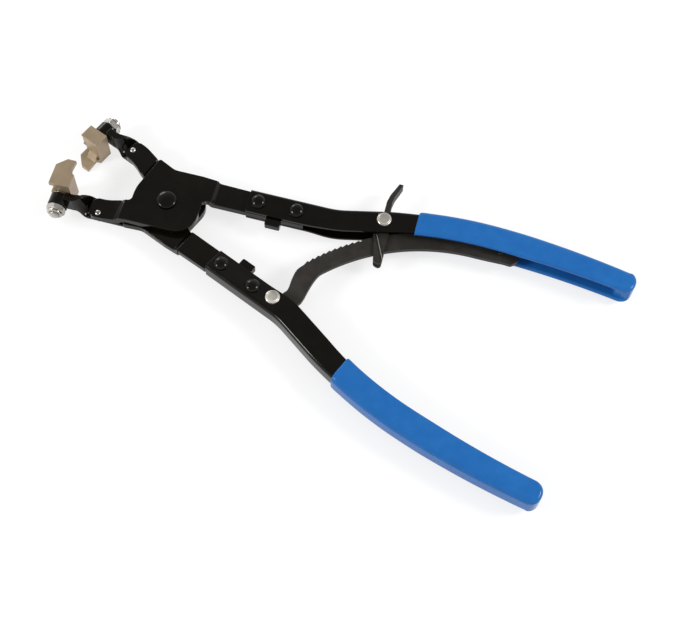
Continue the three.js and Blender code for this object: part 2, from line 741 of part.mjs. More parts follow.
// Jaw block with its nose plate, in the half's own frame
function jawBlock() {
  const left = -EYE_X - JAW_L / 2;
  const back = -JAW_BACK;
  const face = back + JAW_DEPTH;
  const block = box(left, left + JAW_L, back, face, -JAW_BOTTOM, JAW_TOP);
  const noseShares = [[0, 0], [0, 0.72], [0.45, 1], [0.86, 1], [0.8, 0.55], [1, 0.49], [1, 0]];
  const outline = new THREE.Shape(noseShares.map(([u, v]) => (
    new THREE.Vector2(left + u * JAW_L, back + v * NOSE_REACH)
  )));
  const nose = prism(outline, JAW_TOP - NOSE_T, JAW_TOP);
  const wedgeShape = new THREE.Shape([
    new THREE.Vector2(face - NOSE_T, JAW_TOP - NOSE_T / 2),
    new THREE.Vector2(face - NOSE_T, JAW_TOP - NOSE_T - 1.6 * JAW_WEDGE),
    new THREE.Vector2(face, JAW_TOP - NOSE_T - JAW_WEDGE),
    new THREE.Vector2(face + JAW_WEDGE, JAW_TOP - NOSE_T / 2),
  ]);
  const wedgeL = JAW_L / 2;
  const wedge = new THREE.ExtrudeGeometry(wedgeShape, { depth: wedgeL, bevelEnabled: false });
  wedge.rotateY(Math.PI / 2).rotateX(Math.PI / 2);
  wedge.translate(left + JAW_L / 3, 0, 0);
  const notchTop = JAW_TOP - NOSE_T;
  const notch = box(left - OVERRUN, left + JAW_NOTCH, back - OVERRUN, face + OVERRUN,
    notchTop - JAW_NOTCH_H, notchTop);
  const rebate = box(left - OVERRUN, left + JAW_NOTCH, face - JAW_REBATE, face + OVERRUN,
    -JAW_BOTTOM + JAW_REBATE, notchTop - JAW_NOTCH_H - JAW_REBATE);
  const seat = alongY([
    [0, -OVERRUN],
    [SCREW_R + FIT, -OVERRUN],
    [SCREW_R + FIT, SCREW_SEAT + FIT],
    [0, SCREW_SEAT + FIT],
  ], back);
  return cut(joined(block, nose, solidOf(wedge)), notch, rebate, seat);
}

// Levels along the swivel axis, outwards from the jaw's back
const WASHER_LEVEL = -(JAW_BACK + FIT + WASHER_T);
const EYE_LEVEL = WASHER_LEVEL - SEAT - EYE_LENGTH;
const NUT_LEVEL = EYE_LEVEL - FIT - NUT_T;

function swivelScrew() {
  const foot = -JAW_BACK + SCREW_SEAT;
  const end = NUT_LEVEL - SCREW_END;
  return alongY([
    [0, end],
    [SCREW_R - SCREW_END, end],
    [SCREW_R, NUT_LEVEL],
    [SCREW_R, foot],
    [0, foot],
  ], 0, 20);
}

function swivelWasher() {
  const inner = SCREW_R + FIT;
  return alongY([
    [inner, 0],
    [WASHER_R, 0],
    [WASHER_R, WASHER_T],
    [inner, WASHER_T],
    [inner, 0],
  ], WASHER_LEVEL);
}

function lockNut() {
  const corner = NUT_FLATS / Math.sqrt(3);
  const flat = NUT_FLATS / 2;
  const chamfer = corner - flat;
  const hexagon = new THREE.CylinderGeometry(corner, corner, NUT_T, 6);
  hexagon.translate(-EYE_X, NUT_LEVEL + NUT_T / 2, 0);
  const turnedNut = alongY([
    [0, 0],
    [flat - chamfer / 2, 0],
    [corner, chamfer],
    [corner, NUT_T - chamfer / 2],
    [flat, NUT_T],
    [0, NUT_T],
  ], NUT_LEVEL);
  const bore = alongY([
    [0, -OVERRUN],
    [SCREW_R + FIT, -OVERRUN],
    [SCREW_R + FIT, 2 * NUT_T],
    [0, 2 * NUT_T],
  ], NUT_LEVEL);
  return cut(solidOf(hexagon).intersect(turnedNut), bore);
}

// The ratchet rivet's place in the tool, at rest
function ratchetPlace() {
  return new THREE.Vector2(RATCHET_X, -RATCHET_Y).rotateAround(new THREE.Vector2(), -HALF_OPENING);
}

// A point of the ratchet bar, at a radius and an angle about the centre of its arc, which runs
// under the pawl's rivet
function onArc(radius, angle) {
  const pawl = new THREE.Vector2(PAWL_X, PAWL_Y).rotateAround(new THREE.Vector2(), HALF_OPENING);
  const toRivet = BAR_EDGE_R + BAR_STEP;
  return pawl.sub(ratchetPlace()).add(new THREE.Vector2(
    radius * Math.cos(angle) - toRivet * Math.cos(BAR_BEARING),
    radius * Math.sin(angle) - toRivet * Math.sin(BAR_BEARING)));
}

// Ratchet bar about its pivot, in the tool's directions at rest
function ratchetBar() {
  const points = [];
  const toothAngle = TOOTH_LENGTH / BAR_EDGE_R;
  for (let k = 0; k < TOOTH_COUNT; k += 1) {
    const angle = BAR_FROM - k * toothAngle;
    points.push(onArc(BAR_EDGE_R - TOOTH_DEPTH, angle));
    points.push(onArc(BAR_EDGE_R, angle - 0.8 * toothAngle));
  }
  const teethEnd = BAR_FROM - TOOTH_COUNT * toothAngle;
  points.push(...spread(teethEnd, BAR_TO, 12).map((angle) => onArc(BAR_EDGE_R, angle)));
  const tailShares = [[0.8, -0.04], [0.96, -0.16], [1, -0.34], [0.92, -0.64], [0.71, -0.93],
    [0.6, -1], [0.46, -1.02]];
  const tailCorner = onArc(BAR_EDGE_R, BAR_TO);
  points.push(...tailShares.map(([x, y]) => (
    new THREE.Vector2(tailCorner.x + x * BAR_TAIL, tailCorner.y + y * BAR_W)
  )));
  points.push(...spread(BAR_TO, BAR_FROM, 16).map((angle) => onArc(BAR_ARC_R, angle)));
  const root = onArc(BAR_EDGE_R, BAR_FROM);
  const rightShares = [[0.417, 0.54], [0.454, 0.36], [0.411, 0.12]];
  const leftShares = [[0.063, 0.24], [0.089, 0.36], [0.014, 0.62], [-0.017, 0.82]];
  const onNeck = ([x, y]) => new THREE.Vector2(y * root.x + x * root.y, y * root.y);
  const rightEdge = rightShares.map(onNeck);
  const leftEdge = leftShares.map(onNeck);
  points.push(...rightEdge, new THREE.Vector2(0, -BAR_BOSS_R / 2), ...leftEdge);
  const blade = prism(new THREE.Shape(points), -BAR_T / 2, BAR_T / 2);
  const boss = pin(BAR_BOSS_R, -BAR_T / 2, BAR_T / 2, 0, 0);
  const hole = pin(FLAT_SHANK_R + FIT, -BAR_T, BAR_T, 0, 0);
  const stop = stopPinPlace();
  const stopHole = pin(STOP_PIN_R + FIT, -BAR_T, BAR_T, stop.x, stop.y, 16);
  return cut(joined(blade, boss), hole, stopHole);
}

function stopPinPlace() {
  return onArc(BAR_EDGE_R - STOP_PIN_INSET, BAR_TO + STOP_PIN_STEP / BAR_EDGE_R);
}

function ratchetStopPin() {
  const { x, y } = stopPinPlace();
  return pin(STOP_PIN_R, -STOP_PIN_LENGTH / 2, STOP_PIN_LENGTH / 2, x, y, 16);
}

// Pawl: two cheeks astride the bar, a tooth between them and a thumb lever above
function pawlLever() {
  const inner = PAWL_GAP / 2;
  const outer = inner + CHEEK_T;
  const finger = roundedOutline([
    [PAWL_X - PAWL_EYE_R, PAWL_Y, 0],
    [PAWL_X - PAWL_W / 2, PAWL_Y - 0.3 * PAWL_REACH, PAWL_EYE_R],
    [PAWL_X, PAWL_Y - 0.95 * PAWL_REACH, PAWL_TIP_R],
    [PAWL_X + 2 * PAWL_TIP_R, PAWL_Y - PAWL_REACH, PAWL_TIP_R],
    [PAWL_X + PAWL_EYE_R, PAWL_Y, 0],
  ]);
  const riser = new THREE.Shape([
    [PAWL_X - PAWL_EYE_R / 3, PAWL_Y],
    [PAWL_X + 2 * PAWL_EYE_R / 3, PAWL_Y],
    [PAWL_X + 2 * PAWL_EYE_R / 3, PAWL_Y + 2 * LEVER_FOOT - SEAT],
    [PAWL_X - PAWL_EYE_R / 3, PAWL_Y + 2 * LEVER_FOOT - SEAT],
  ].map(([x, y]) => new THREE.Vector2(x, y)));
  const cheek = (low, high) => joined(
    prism(finger, low, high),
    prism(riser, low, high),
    pin(PAWL_EYE_R, low, high, PAWL_X, PAWL_Y));
  const toothX = PAWL_X - TOOTH_OFFSET;
  const toothY = PAWL_Y - TOOTH_REACH;
  const tooth = new THREE.Shape([
    [toothX, toothY],
    [toothX + TOOTH_W, toothY + TOOTH_W / 2],
    [toothX + TOOTH_W, toothY + TOOTH_W],
    [toothX, toothY + 0.8 * TOOTH_W],
  ].map(([x, y]) => new THREE.Vector2(x, y)));
  const leverShares = [[0.01, 0], [0, 0.43], [0.035, 0.63], [0.11, 0.83], [0.17, 1]];
  const spine = leverShares.map(([x, y]) => (
    new THREE.Vector2(PAWL_X + x * LEVER_H, PAWL_Y + LEVER_FOOT + y * LEVER_H)
  ));
  const half = (k) => THREE.MathUtils.lerp(LEVER_T, LEVER_TIP_T, k / (spine.length - 1)) / 2;
  const leverOutline = new THREE.Shape([
    ...spine.map((p, k) => new THREE.Vector2(p.x - half(k), p.y)),
    ...spine.map((p, k) => new THREE.Vector2(p.x + half(k), p.y)).reverse(),
  ]);
  const lever = prism(leverOutline, -LEVER_W / 2, LEVER_W / 2);
  const notchX = PAWL_X - COIL_R;
  const notch = box(PAWL_X - PAWL_W, notchX + 3 * WIRE_R, PAWL_Y - 2 * PAWL_EYE_R,
    PAWL_Y - PAWL_EYE_R / 2, inner - SEAT, outer + SEAT);
  const hole = pin(FLAT_SHANK_R + FIT, -2 * outer, 2 * outer, PAWL_X, PAWL_Y);
  const whole = joined(cheek(inner, outer), cheek(-outer, -inner), lever, prism(tooth, -outer, outer));
  return cut(whole, hole, notch);
}

// Pawl spring: one wire, coiled round the rivet, its leg crossing the front cheek
function pawlSpring() {
  const points = [];
  const lowest = -COIL_TURNS * COIL_PITCH / 2;
  points.push(new THREE.Vector3(PAWL_X - COIL_R, PAWL_Y + COIL_LEG, lowest));
  const coilPoints = COIL_TURNS * COIL_STEPS;
  for (let k = 0; k <= coilPoints; k += 1) {
    const angle = Math.PI + 2 * Math.PI * k / COIL_STEPS;
    points.push(new THREE.Vector3(
      PAWL_X + COIL_R * Math.cos(angle),
      PAWL_Y + COIL_R * Math.sin(angle),
      lowest + k * COIL_PITCH / COIL_STEPS));
  }
  const legLevel = PAWL_GAP / 2 + CHEEK_T + WIRE_R + SEAT;
  const legStart = PAWL_Y - 2 * COIL_R;
  points.push(new THREE.Vector3(PAWL_X - COIL_R, PAWL_Y - COIL_R, -lowest));
  points.push(new THREE.Vector3(PAWL_X - COIL_R, legStart, legLevel));
  const legEnd = new THREE.Vector3(PAWL_X + 2.1 * PAWL_TIP_R, PAWL_Y - 0.87 * PAWL_REACH, legLevel);
  const bend = points.at(-1).clone().lerp(legEnd, 0.1);
  points.push(bend, bend.clone().lerp(legEnd, 0.5), legEnd);
  return points;
}

// The least gap between stretches of the wire that aren't neighbours
function leastGap(points) {
  let least = Infinity;
  for (let i = 0; i < points.length; i += 1) {
    for (let j = i + COIL_STEPS / 2; j < points.length; j += 1) {
      least = Math.min(least, points[i].distanceTo(points[j]) - 2 * WIRE_R);
    }
  }
  return least;
}

// One unbroken tube through the points, square at both ends
function wireTube(points) {
  const normal = new THREE.Vector3(0, 0, 1);
  const stations = points.map((at, k) => {
    const ahead = points[Math.min(k + 1, points.length - 1)];
    const behind = points[Math.max(k - 1, 0)];
    const along = ahead.clone().sub(behind).normalize();
    const across = normal.clone().cross(along).normalize();
    const up = along.clone().cross(across);
    const outline = Array.from({ length: WIRE_SIDES }, (_, side) => {
      const angle = 2 * Math.PI * side / WIRE_SIDES;
      return new THREE.Vector2(WIRE_R * Math.cos(angle), WIRE_R * Math.sin(angle));
    });
    return { outline, at, across, up };
  });
  return loft(stations);
}

function node(name, solid, finish) {
  const mesh = new THREE.Mesh(geometryOf(solid), materials[finish]);
  mesh.name = name;
  return mesh;
}

const DOMES = [
  [RIVET_FIRST, RIVET_Y, RIVET_SHANK_R],
  [RIVET_SECOND, RIVET_Y, RIVET_SHANK_R],
];

// The swivelling jaw, the same on both halves
function swivelJaw(name) {
  return [
    node(`${name}_jaw_block`, jawBlock(), 'nickel'),
    node(`${name}_swivel_screw`, swivelScrew(), 'bright'),
    node(`${name}_swivel_washer`, swivelWasher(), 'bright'),
    node(`${name}_lock_nut`, lockNut(), 'bright'),
  ];
}

// Front half: upper handle and lower-left jaw
function frontHalf() {
  const half = new THREE.Group();
  const slot = box(PAWL_X - SLOT_L / 2, PAWL_X + SLOT_L / 2, PAWL_Y + LEVER_FOOT, PAWL_Y + 3 * LEVER_FOOT,
    -SLOT_W / 2, SLOT_W / 2);
  const holes = [...DOMES, [PAWL_X, PAWL_Y, FLAT_SHANK_R]];
  const wire = pawlSpring();
  console.log(`pawl spring, least gap to itself: ${leastGap(wire).toFixed(2)} mm`);
  half.add(
    node('front_jaw_plate', jawPlate(LOWER_PIN_X, LOWER_PIN_Y, 0), 'black'),
    node('main_pivot_rivet', pivotRivet(), 'black'),
    node('upper_handle_channel', handleChannel(holes, slot), 'black'),
    node('upper_handle_grip', handleGrip(), 'grip'),
    node('upper_rivet_front', flangeRivet(RIVET_FIRST, RIVET_Y, RIVET_SHANK_R, domeHead()), 'black'),
    node('upper_rivet_rear', flangeRivet(RIVET_SECOND, RIVET_Y, RIVET_SHANK_R, domeHead()), 'black'),
    node('pawl_rivet', flangeRivet(PAWL_X, PAWL_Y, FLAT_SHANK_R, flatHead()), 'bright'),
    node('lower_jaw_neck', jawNeck(-1, LOWER_PIN_X, LOWER_PIN_Y, 0, LOWER_NECK_SHIFT), 'black'),
    node('lower_neck_pin', neckPin(-1, LOWER_PIN_X, LOWER_PIN_Y), 'bright'),
    node('pawl_lever', pawlLever(), 'bar'),
    node('pawl_spring', wireTube(wire), 'bright'),
    ...swivelJaw('lower'),
  );
  half.rotation.z = HALF_OPENING;
  return half;
}

// Rear half: lower handle and upper-left jaw, turned over
function rearHalf() {
  const half = new THREE.Group();
  const holes = [...DOMES, [RATCHET_X, RATCHET_Y, FLAT_SHANK_R]];
  half.add(
    node('rear_jaw_plate', jawPlate(UPPER_PIN_X, UPPER_PIN_Y, UPPER_ARM_SHIFT), 'black'),
    node('lower_handle_channel', handleChannel(holes), 'black'),
    node('lower_handle_grip', handleGrip(), 'grip'),
    node('lower_rivet_front', flangeRivet(RIVET_FIRST, RIVET_Y, RIVET_SHANK_R, domeHead()), 'black'),
    node('lower_rivet_rear', flangeRivet(RIVET_SECOND, RIVET_Y, RIVET_SHANK_R, domeHead()), 'black'),
    node('ratchet_rivet', flangeRivet(RATCHET_X, RATCHET_Y, FLAT_SHANK_R, flatHead()), 'bright'),
    node('upper_jaw_neck', jawNeck(
      1, UPPER_PIN_X, UPPER_PIN_Y, UPPER_ARM_SHIFT, UPPER_NECK_SHIFT), 'black'),
    node('upper_neck_pin', neckPin(1, UPPER_PIN_X, UPPER_PIN_Y), 'bright'),
    ...swivelJaw('upper'),
  );
  half.rotation.set(Math.PI, 0, HALF_OPENING);
  return half;
}

// Ratchet bar and its stop pin, about the ratchet rivet in the lower handle
function ratchet() {
  const group = new THREE.Group();
  group.add(
    node('ratchet_bar', ratchetBar(), 'bar'),
    node('ratchet_stop_pin', ratchetStopPin(), 'bar'),
  );
  const { x, y } = ratchetPlace();
  group.position.set(x, y, 0);
  return group;
}

const pliers = new THREE.Group();
pliers.name = 'hose_clamp_pliers';
pliers.add(frontHalf(), rearHalf(), ratchet());
pliers.position.z = PIVOT_TAIL_FACE;

export default pliers;
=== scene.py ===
import logging
import math
from dataclasses import dataclass, field
from enum import Enum
from typing import Callable, Iterator, NamedTuple, Sequence

import bmesh
import bpy
from mathutils import Matrix, Vector


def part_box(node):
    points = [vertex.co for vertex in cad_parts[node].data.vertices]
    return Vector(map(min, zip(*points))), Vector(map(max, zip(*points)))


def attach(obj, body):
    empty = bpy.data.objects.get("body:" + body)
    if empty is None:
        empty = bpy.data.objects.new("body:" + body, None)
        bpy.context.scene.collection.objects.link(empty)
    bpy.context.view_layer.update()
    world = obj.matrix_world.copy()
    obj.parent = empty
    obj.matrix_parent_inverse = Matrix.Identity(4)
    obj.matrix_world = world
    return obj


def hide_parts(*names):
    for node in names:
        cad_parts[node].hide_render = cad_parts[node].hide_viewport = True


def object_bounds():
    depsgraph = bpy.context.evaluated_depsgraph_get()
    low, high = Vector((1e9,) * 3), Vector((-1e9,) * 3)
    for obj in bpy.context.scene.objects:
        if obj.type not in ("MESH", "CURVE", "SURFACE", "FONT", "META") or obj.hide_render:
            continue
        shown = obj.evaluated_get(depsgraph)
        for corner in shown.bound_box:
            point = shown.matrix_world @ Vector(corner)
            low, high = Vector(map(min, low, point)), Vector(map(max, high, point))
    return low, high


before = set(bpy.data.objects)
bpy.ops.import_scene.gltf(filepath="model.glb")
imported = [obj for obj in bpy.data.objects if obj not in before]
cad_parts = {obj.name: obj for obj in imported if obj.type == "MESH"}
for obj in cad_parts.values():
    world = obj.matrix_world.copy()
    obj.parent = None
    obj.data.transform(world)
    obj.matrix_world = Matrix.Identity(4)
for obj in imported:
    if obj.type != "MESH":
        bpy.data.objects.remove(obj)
CAD_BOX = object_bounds()
log = logging.getLogger("hose_clamp_pliers")

MM = 0.001
HALF_OPENING = math.radians(11.5)
MIDDLE_LEVEL = 6.1
EYE_X = 53.0
PAWL_RIVET = (107.9, 16.9)
RATCHET_RIVET = (76.0, 9.95)
FINE_WELD = 0.004
Point = tuple[float, float]
Socket = bpy.types.NodeSocket


class Body(Enum):
    """The moving bodies that pieces ride on."""

    FRONT = "front_half"
    REAR = "rear_half"
    RATCHET = "ratchet"
    PAWL = "pawl"
    LOWER_JAW = "lower_jaw"
    UPPER_JAW = "upper_jaw"


class Half(Enum):
    """The two halves of the tool; each is drawn in a frame of its own."""

    FRONT = "front"
    REAR = "rear"

    def matrix(self) -> Matrix:
        """Gives the half's place in the tool.

        Returns:
            The matrix from the half's own frame to the tool's, in millimetres.
        """
        lift = Matrix.Translation((0, 0, MIDDLE_LEVEL))
        turn = Matrix.Rotation(HALF_OPENING, 4, "Z")
        if self is Half.REAR:
            return lift @ Matrix.Rotation(math.pi, 4, "X") @ turn
        return lift @ turn


def mix(a: float, b: float, share: float) -> float:
    """Gives the number that lies the given share of the way from a to b."""
    return a + (b - a) * share


def clamp(value: float) -> float:
    """Keeps a value between 0 and 1."""
    return min(1.0, max(0.0, value))


def steps(start: float, end: float, count: int) -> list[float]:
    """Divides a stretch into equal steps and gives every mark, both ends included."""
    return [mix(start, end, k / count) for k in range(count + 1)]


def eased(share: float) -> float:
    """Softens both ends of a share that runs from 0 to 1."""
    return share * share * (3 - 2 * share)


def arc(x: float, y: float, wide: float, high: float, angles: Sequence[float]) -> list[Point]:
    """Gives the points of an oval about the centre x, y, one for each angle."""
    return [(x + wide * math.cos(a), y + high * math.sin(a)) for a in angles]


def swivel_stand() -> Matrix:
    """Gives the place of a half's swivel axis, with heights along the half's +Y."""
    return Matrix.Translation((-EYE_X, 0, 0)) @ Matrix.Rotation(-math.pi / 2, 4, "X")


def put_in_scene(name: str, data: bpy.types.ID) -> bpy.types.Object:
    """Makes an object of a mesh, a lamp or a camera and links it.

    Args:
        name: The object's name.
        data: What it shows.

    Returns:
        The new object.
    """
    item = bpy.data.objects.new(name, data)
    bpy.context.scene.collection.objects.link(item)
    return item


def along_line(place: float, pairs: Sequence[Point]) -> float:
    """Follows straight lines between pairs of place and value.

    Args:
        place: Where to read the value.
        pairs: Places in rising order, each with its value.

    Returns:
        The value there, held at both ends.
    """
    if place <= pairs[0][0]:
        return pairs[0][1]
    for (x0, v0), (x1, v1) in zip(pairs, pairs[1:]):
        if place <= x1:
            return mix(v0, v1, (place - x0) / (x1 - x0))
    return pairs[-1][1]


class Mould:
    """A mesh in the making, in millimetres, shaped with bmesh operators."""

    def __init__(self) -> None:
        """Starts with an empty mesh."""
        self.bm = bmesh.new()

    def sweep(self, rows: Sequence[Sequence[Vector]]) -> "Mould":
        """Extrudes a closed section from row to row and closes both ends.

        Args:
            rows: The section's points at each station, as many in each row.

        Returns:
            This mould.
        """
        verts = [self.bm.verts.new(p) for p in rows[0]]
        count = len(verts)
        edges = [self.bm.edges.new((verts[i], verts[(i + 1) % count])) for i in range(count)]
        bmesh.ops.contextual_create(self.bm, geom=edges)
        for row in rows[1:]:
            made = bmesh.ops.extrude_edge_only(self.bm, edges=edges)["geom"]
            fresh = [g for g in made if isinstance(g, bmesh.types.BMVert)]
            near = {self._key(v): v for v in fresh}
            verts = [near[self._key(v)] for v in verts]
            ring = set(verts)
            edges = [g for g in made if isinstance(g, bmesh.types.BMEdge)
                     and g.verts[0] in ring and g.verts[1] in ring]
            for vert, point in zip(verts, row):
                vert.co = point
        bmesh.ops.contextual_create(self.bm, geom=edges)
        return self.tidy()

    @staticmethod
    def _key(vert: bmesh.types.BMVert) -> tuple[float, ...]:
        """Names a vertex by its place."""
        return tuple(round(c, 5) for c in vert.co)

    def turn(self, profile: Sequence[Point], count: int = 64) -> "Mould":
        """Spins a profile of radius and height round the Z axis.

        Args:
            profile: Pairs of radius and height, from the axis to the axis or a closed ring.
            count: How many steps make the full turn.

        Returns:
            This mould.
        """
        verts = [self.bm.verts.new((r, 0, h)) for r, h in profile]
        edges = [self.bm.edges.new(pair) for pair in zip(verts, verts[1:])]
        bmesh.ops.spin(
            self.bm, geom=verts + edges, axis=(0, 0, 1), cent=(0, 0, 0), dvec=(0, 0, 0),
            angle=2 * math.pi, steps=count, use_merge=True, use_duplicate=False)
        return self.tidy()

    def prism(self, outline: Sequence[Point], low: float, high: float) -> "Mould":
        """Makes a flat piece from its outline, seen from above, between two levels."""
        return self.sweep([[Vector((x, y, z)) for x, y in outline] for z in (low, high)])

    def rod(self, radius: float, low: float, high: float, count: int) -> "Mould":
        """Makes a plain round rod along the Z axis, between two levels."""
        return self.turn([(0, low), (radius, low), (radius, high), (0, high)], count)

    def copy_node(self, name: str) -> "Mould":
        """Takes over the shape of a solid of the frame, its loose triangles merged.

        Args:
            name: The node's name.

        Returns:
            This mould, in the tool's frame.
        """
        self.bm.from_mesh(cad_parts[name].data)
        bmesh.ops.transform(self.bm, matrix=Matrix.Scale(1 / MM, 4), verts=self.bm.verts)
        bmesh.ops.remove_doubles(self.bm, verts=self.bm.verts, dist=FINE_WELD)
        bmesh.ops.dissolve_limit(
            self.bm, angle_limit=math.radians(1.2), use_dissolve_boundaries=False,
            verts=self.bm.verts, edges=self.bm.edges, delimit=set())
        bmesh.ops.recalc_face_normals(self.bm, faces=self.bm.faces)
        return self

    def roll_edges(self, width: float, angle: float = 35, segments: int = 3,
                   keep_clear: bool = True) -> "Mould":
        """Rolls the sharp edges over with a small radius.

        Args:
            width: The width of the roll.
            angle: Edges that bend more than this, in degrees, are rolled.
            segments: How many faces run round the roll.
            keep_clear: Whether the roll narrows where two of them would meet.

        Returns:
            This mould.
        """
        sharp = [e for e in self.bm.edges if len(e.link_faces) == 2
                 and e.calc_face_angle(0) > math.radians(angle)]
        return self._bevel(sharp, width, segments, keep_clear).weld(FINE_WELD)

    def _bevel(self, edges: list[bmesh.types.BMEdge], width: float, segments: int,
               keep_clear: bool) -> "Mould":
        """Rounds the given edges over.

        Args:
            edges: The edges.
            width: The width of the rounding.
            segments: How many faces run round it.
            keep_clear: Whether it narrows where two of them would meet.

        Returns:
            This mould.
        """
        bmesh.ops.bevel(
            self.bm, geom=edges, offset=width, offset_type="OFFSET", affect="EDGES",
            segments=segments, profile=0.5, clamp_overlap=keep_clear, material=-1)
        return self

    def weld(self, reach: float) -> "Mould":
        """Merges points that lie closer together than the given reach.

        Args:
            reach: Points that are closer together than this become one.

        Returns:
            This mould.
        """
        bmesh.ops.remove_doubles(self.bm, verts=self.bm.verts, dist=reach)
        bmesh.ops.dissolve_degenerate(self.bm, edges=self.bm.edges, dist=min(reach, FINE_WELD))
        return self

    def round_bends(self, width: float, segments: int = 5) -> "Mould":
        """Rounds the creases where a flat plate steps up or down.

        Args:
            width: How far the rounding reaches on both sides.
            segments: How many faces run round it.

        Returns:
            This mould.
        """
        bends = []
        for edge in self.bm.edges:
            if len(edge.link_faces) != 2:
                continue
            levels = sorted(abs(face.normal.z) for face in edge.link_faces)
            rise = abs(edge.verts[0].co.z - edge.verts[1].co.z)
            if 0.3 < levels[0] < 0.9 and levels[1] > 0.99 and rise < 0.05:
                bends.append(edge)
        return self._bevel(bends, width, segments, False)

    def tidy(self) -> "Mould":
        """Merges doubled vertices and turns the faces outwards.

        Returns:
            This mould.
        """
        bmesh.ops.remove_doubles(self.bm, verts=self.bm.verts, dist=0.001)
        bmesh.ops.recalc_face_normals(self.bm, faces=self.bm.faces)
        return self

    def place(self, matrix: Matrix) -> "Mould":
        """Moves the whole mesh.

        Args:
            matrix: The move, in millimetres.

        Returns:
            This mould.
        """
        bmesh.ops.transform(self.bm, matrix=matrix, verts=self.bm.verts)
        if matrix.determinant() < 0:
            bmesh.ops.reverse_faces(self.bm, faces=self.bm.faces)
        return self

    def add(self, other: "Mould") -> "Mould":
        """Takes another mould's mesh into this one as it is, without joining.

        Args:
            other: The other mould.

        Returns:
            This mould.
        """
        spare = bpy.data.meshes.new("spare")
        other.bm.to_mesh(spare)
        self.bm.from_mesh(spare)
        bpy.data.meshes.remove(spare)
        return self

    def combine(self, other: "Mould", how: str) -> "Mould":
        """Joins, cuts or crosses this solid with another.

        Args:
            other: The other solid.
            how: UNION, DIFFERENCE or INTERSECT.

        Returns:
            This mould.
        """
        mine, tool = self._loose("mine"), other._loose("tool")
        change = mine.modifiers.new("change", "BOOLEAN")
        change.operation = how
        change.solver = "EXACT"
        change.object = tool
        bpy.context.view_layer.update()
        graph = bpy.context.evaluated_depsgraph_get()
        result = bpy.data.meshes.new_from_object(mine.evaluated_get(graph))
        self.bm.clear()
        self.bm.from_mesh(result)
        for spare in (mine, tool):
            mesh = spare.data
            bpy.data.objects.remove(spare)
            bpy.data.meshes.remove(mesh)
        bpy.data.meshes.remove(result)
        return self.settle().weld(FINE_WELD)

    def settle(self) -> "Mould":
        """Puts the points, edges and faces in an order that is the same in each run.

        Returns:
            This mould.
        """
        self.bm.verts.sort(key=lambda vert: self._rank(vert.co))
        self.bm.edges.sort(key=lambda edge: self._rank(edge.verts[0].co + edge.verts[1].co))
        self.bm.faces.sort(key=lambda face: self._rank(face.calc_center_median()))
        return self

    @staticmethod
    def _rank(place: Vector) -> float:
        """Gives a place a number of its own, for sorting."""
        return place.x + 37.31 * place.y + 1409.7 * place.z

    def _loose(self, name: str) -> bpy.types.Object:
        """Makes a passing object of this mesh for a modifier to work on.

        Args:
            name: The object's name.

        Returns:
            The object.
        """
        mesh = bpy.data.meshes.new(name)
        self.bm.to_mesh(mesh)
        return put_in_scene(name, mesh)

    def release(self, name: str, smooth: float) -> bpy.types.Object:
        """Turns the mould into a finished object in metres, at the origin.

        Args:
            name: The piece's name.
            smooth: Edges that bend less than this, in degrees, are shaded smooth.

        Returns:
            The new object.
        """
        self.settle()
        bmesh.ops.transform(self.bm, matrix=Matrix.Scale(MM, 4), verts=self.bm.verts)
        mesh = bpy.data.meshes.new(name)
        self.bm.to_mesh(mesh)
        self.bm.free()
        mesh.shade_smooth()
        mesh.set_sharp_from_angle(angle=math.radians(smooth))
        item = put_in_scene(name, mesh)
        flatten = item.modifiers.new("flat_faces_stay_flat", "WEIGHTED_NORMAL")
        flatten.keep_sharp = True
        flatten.weight = 60
        return item


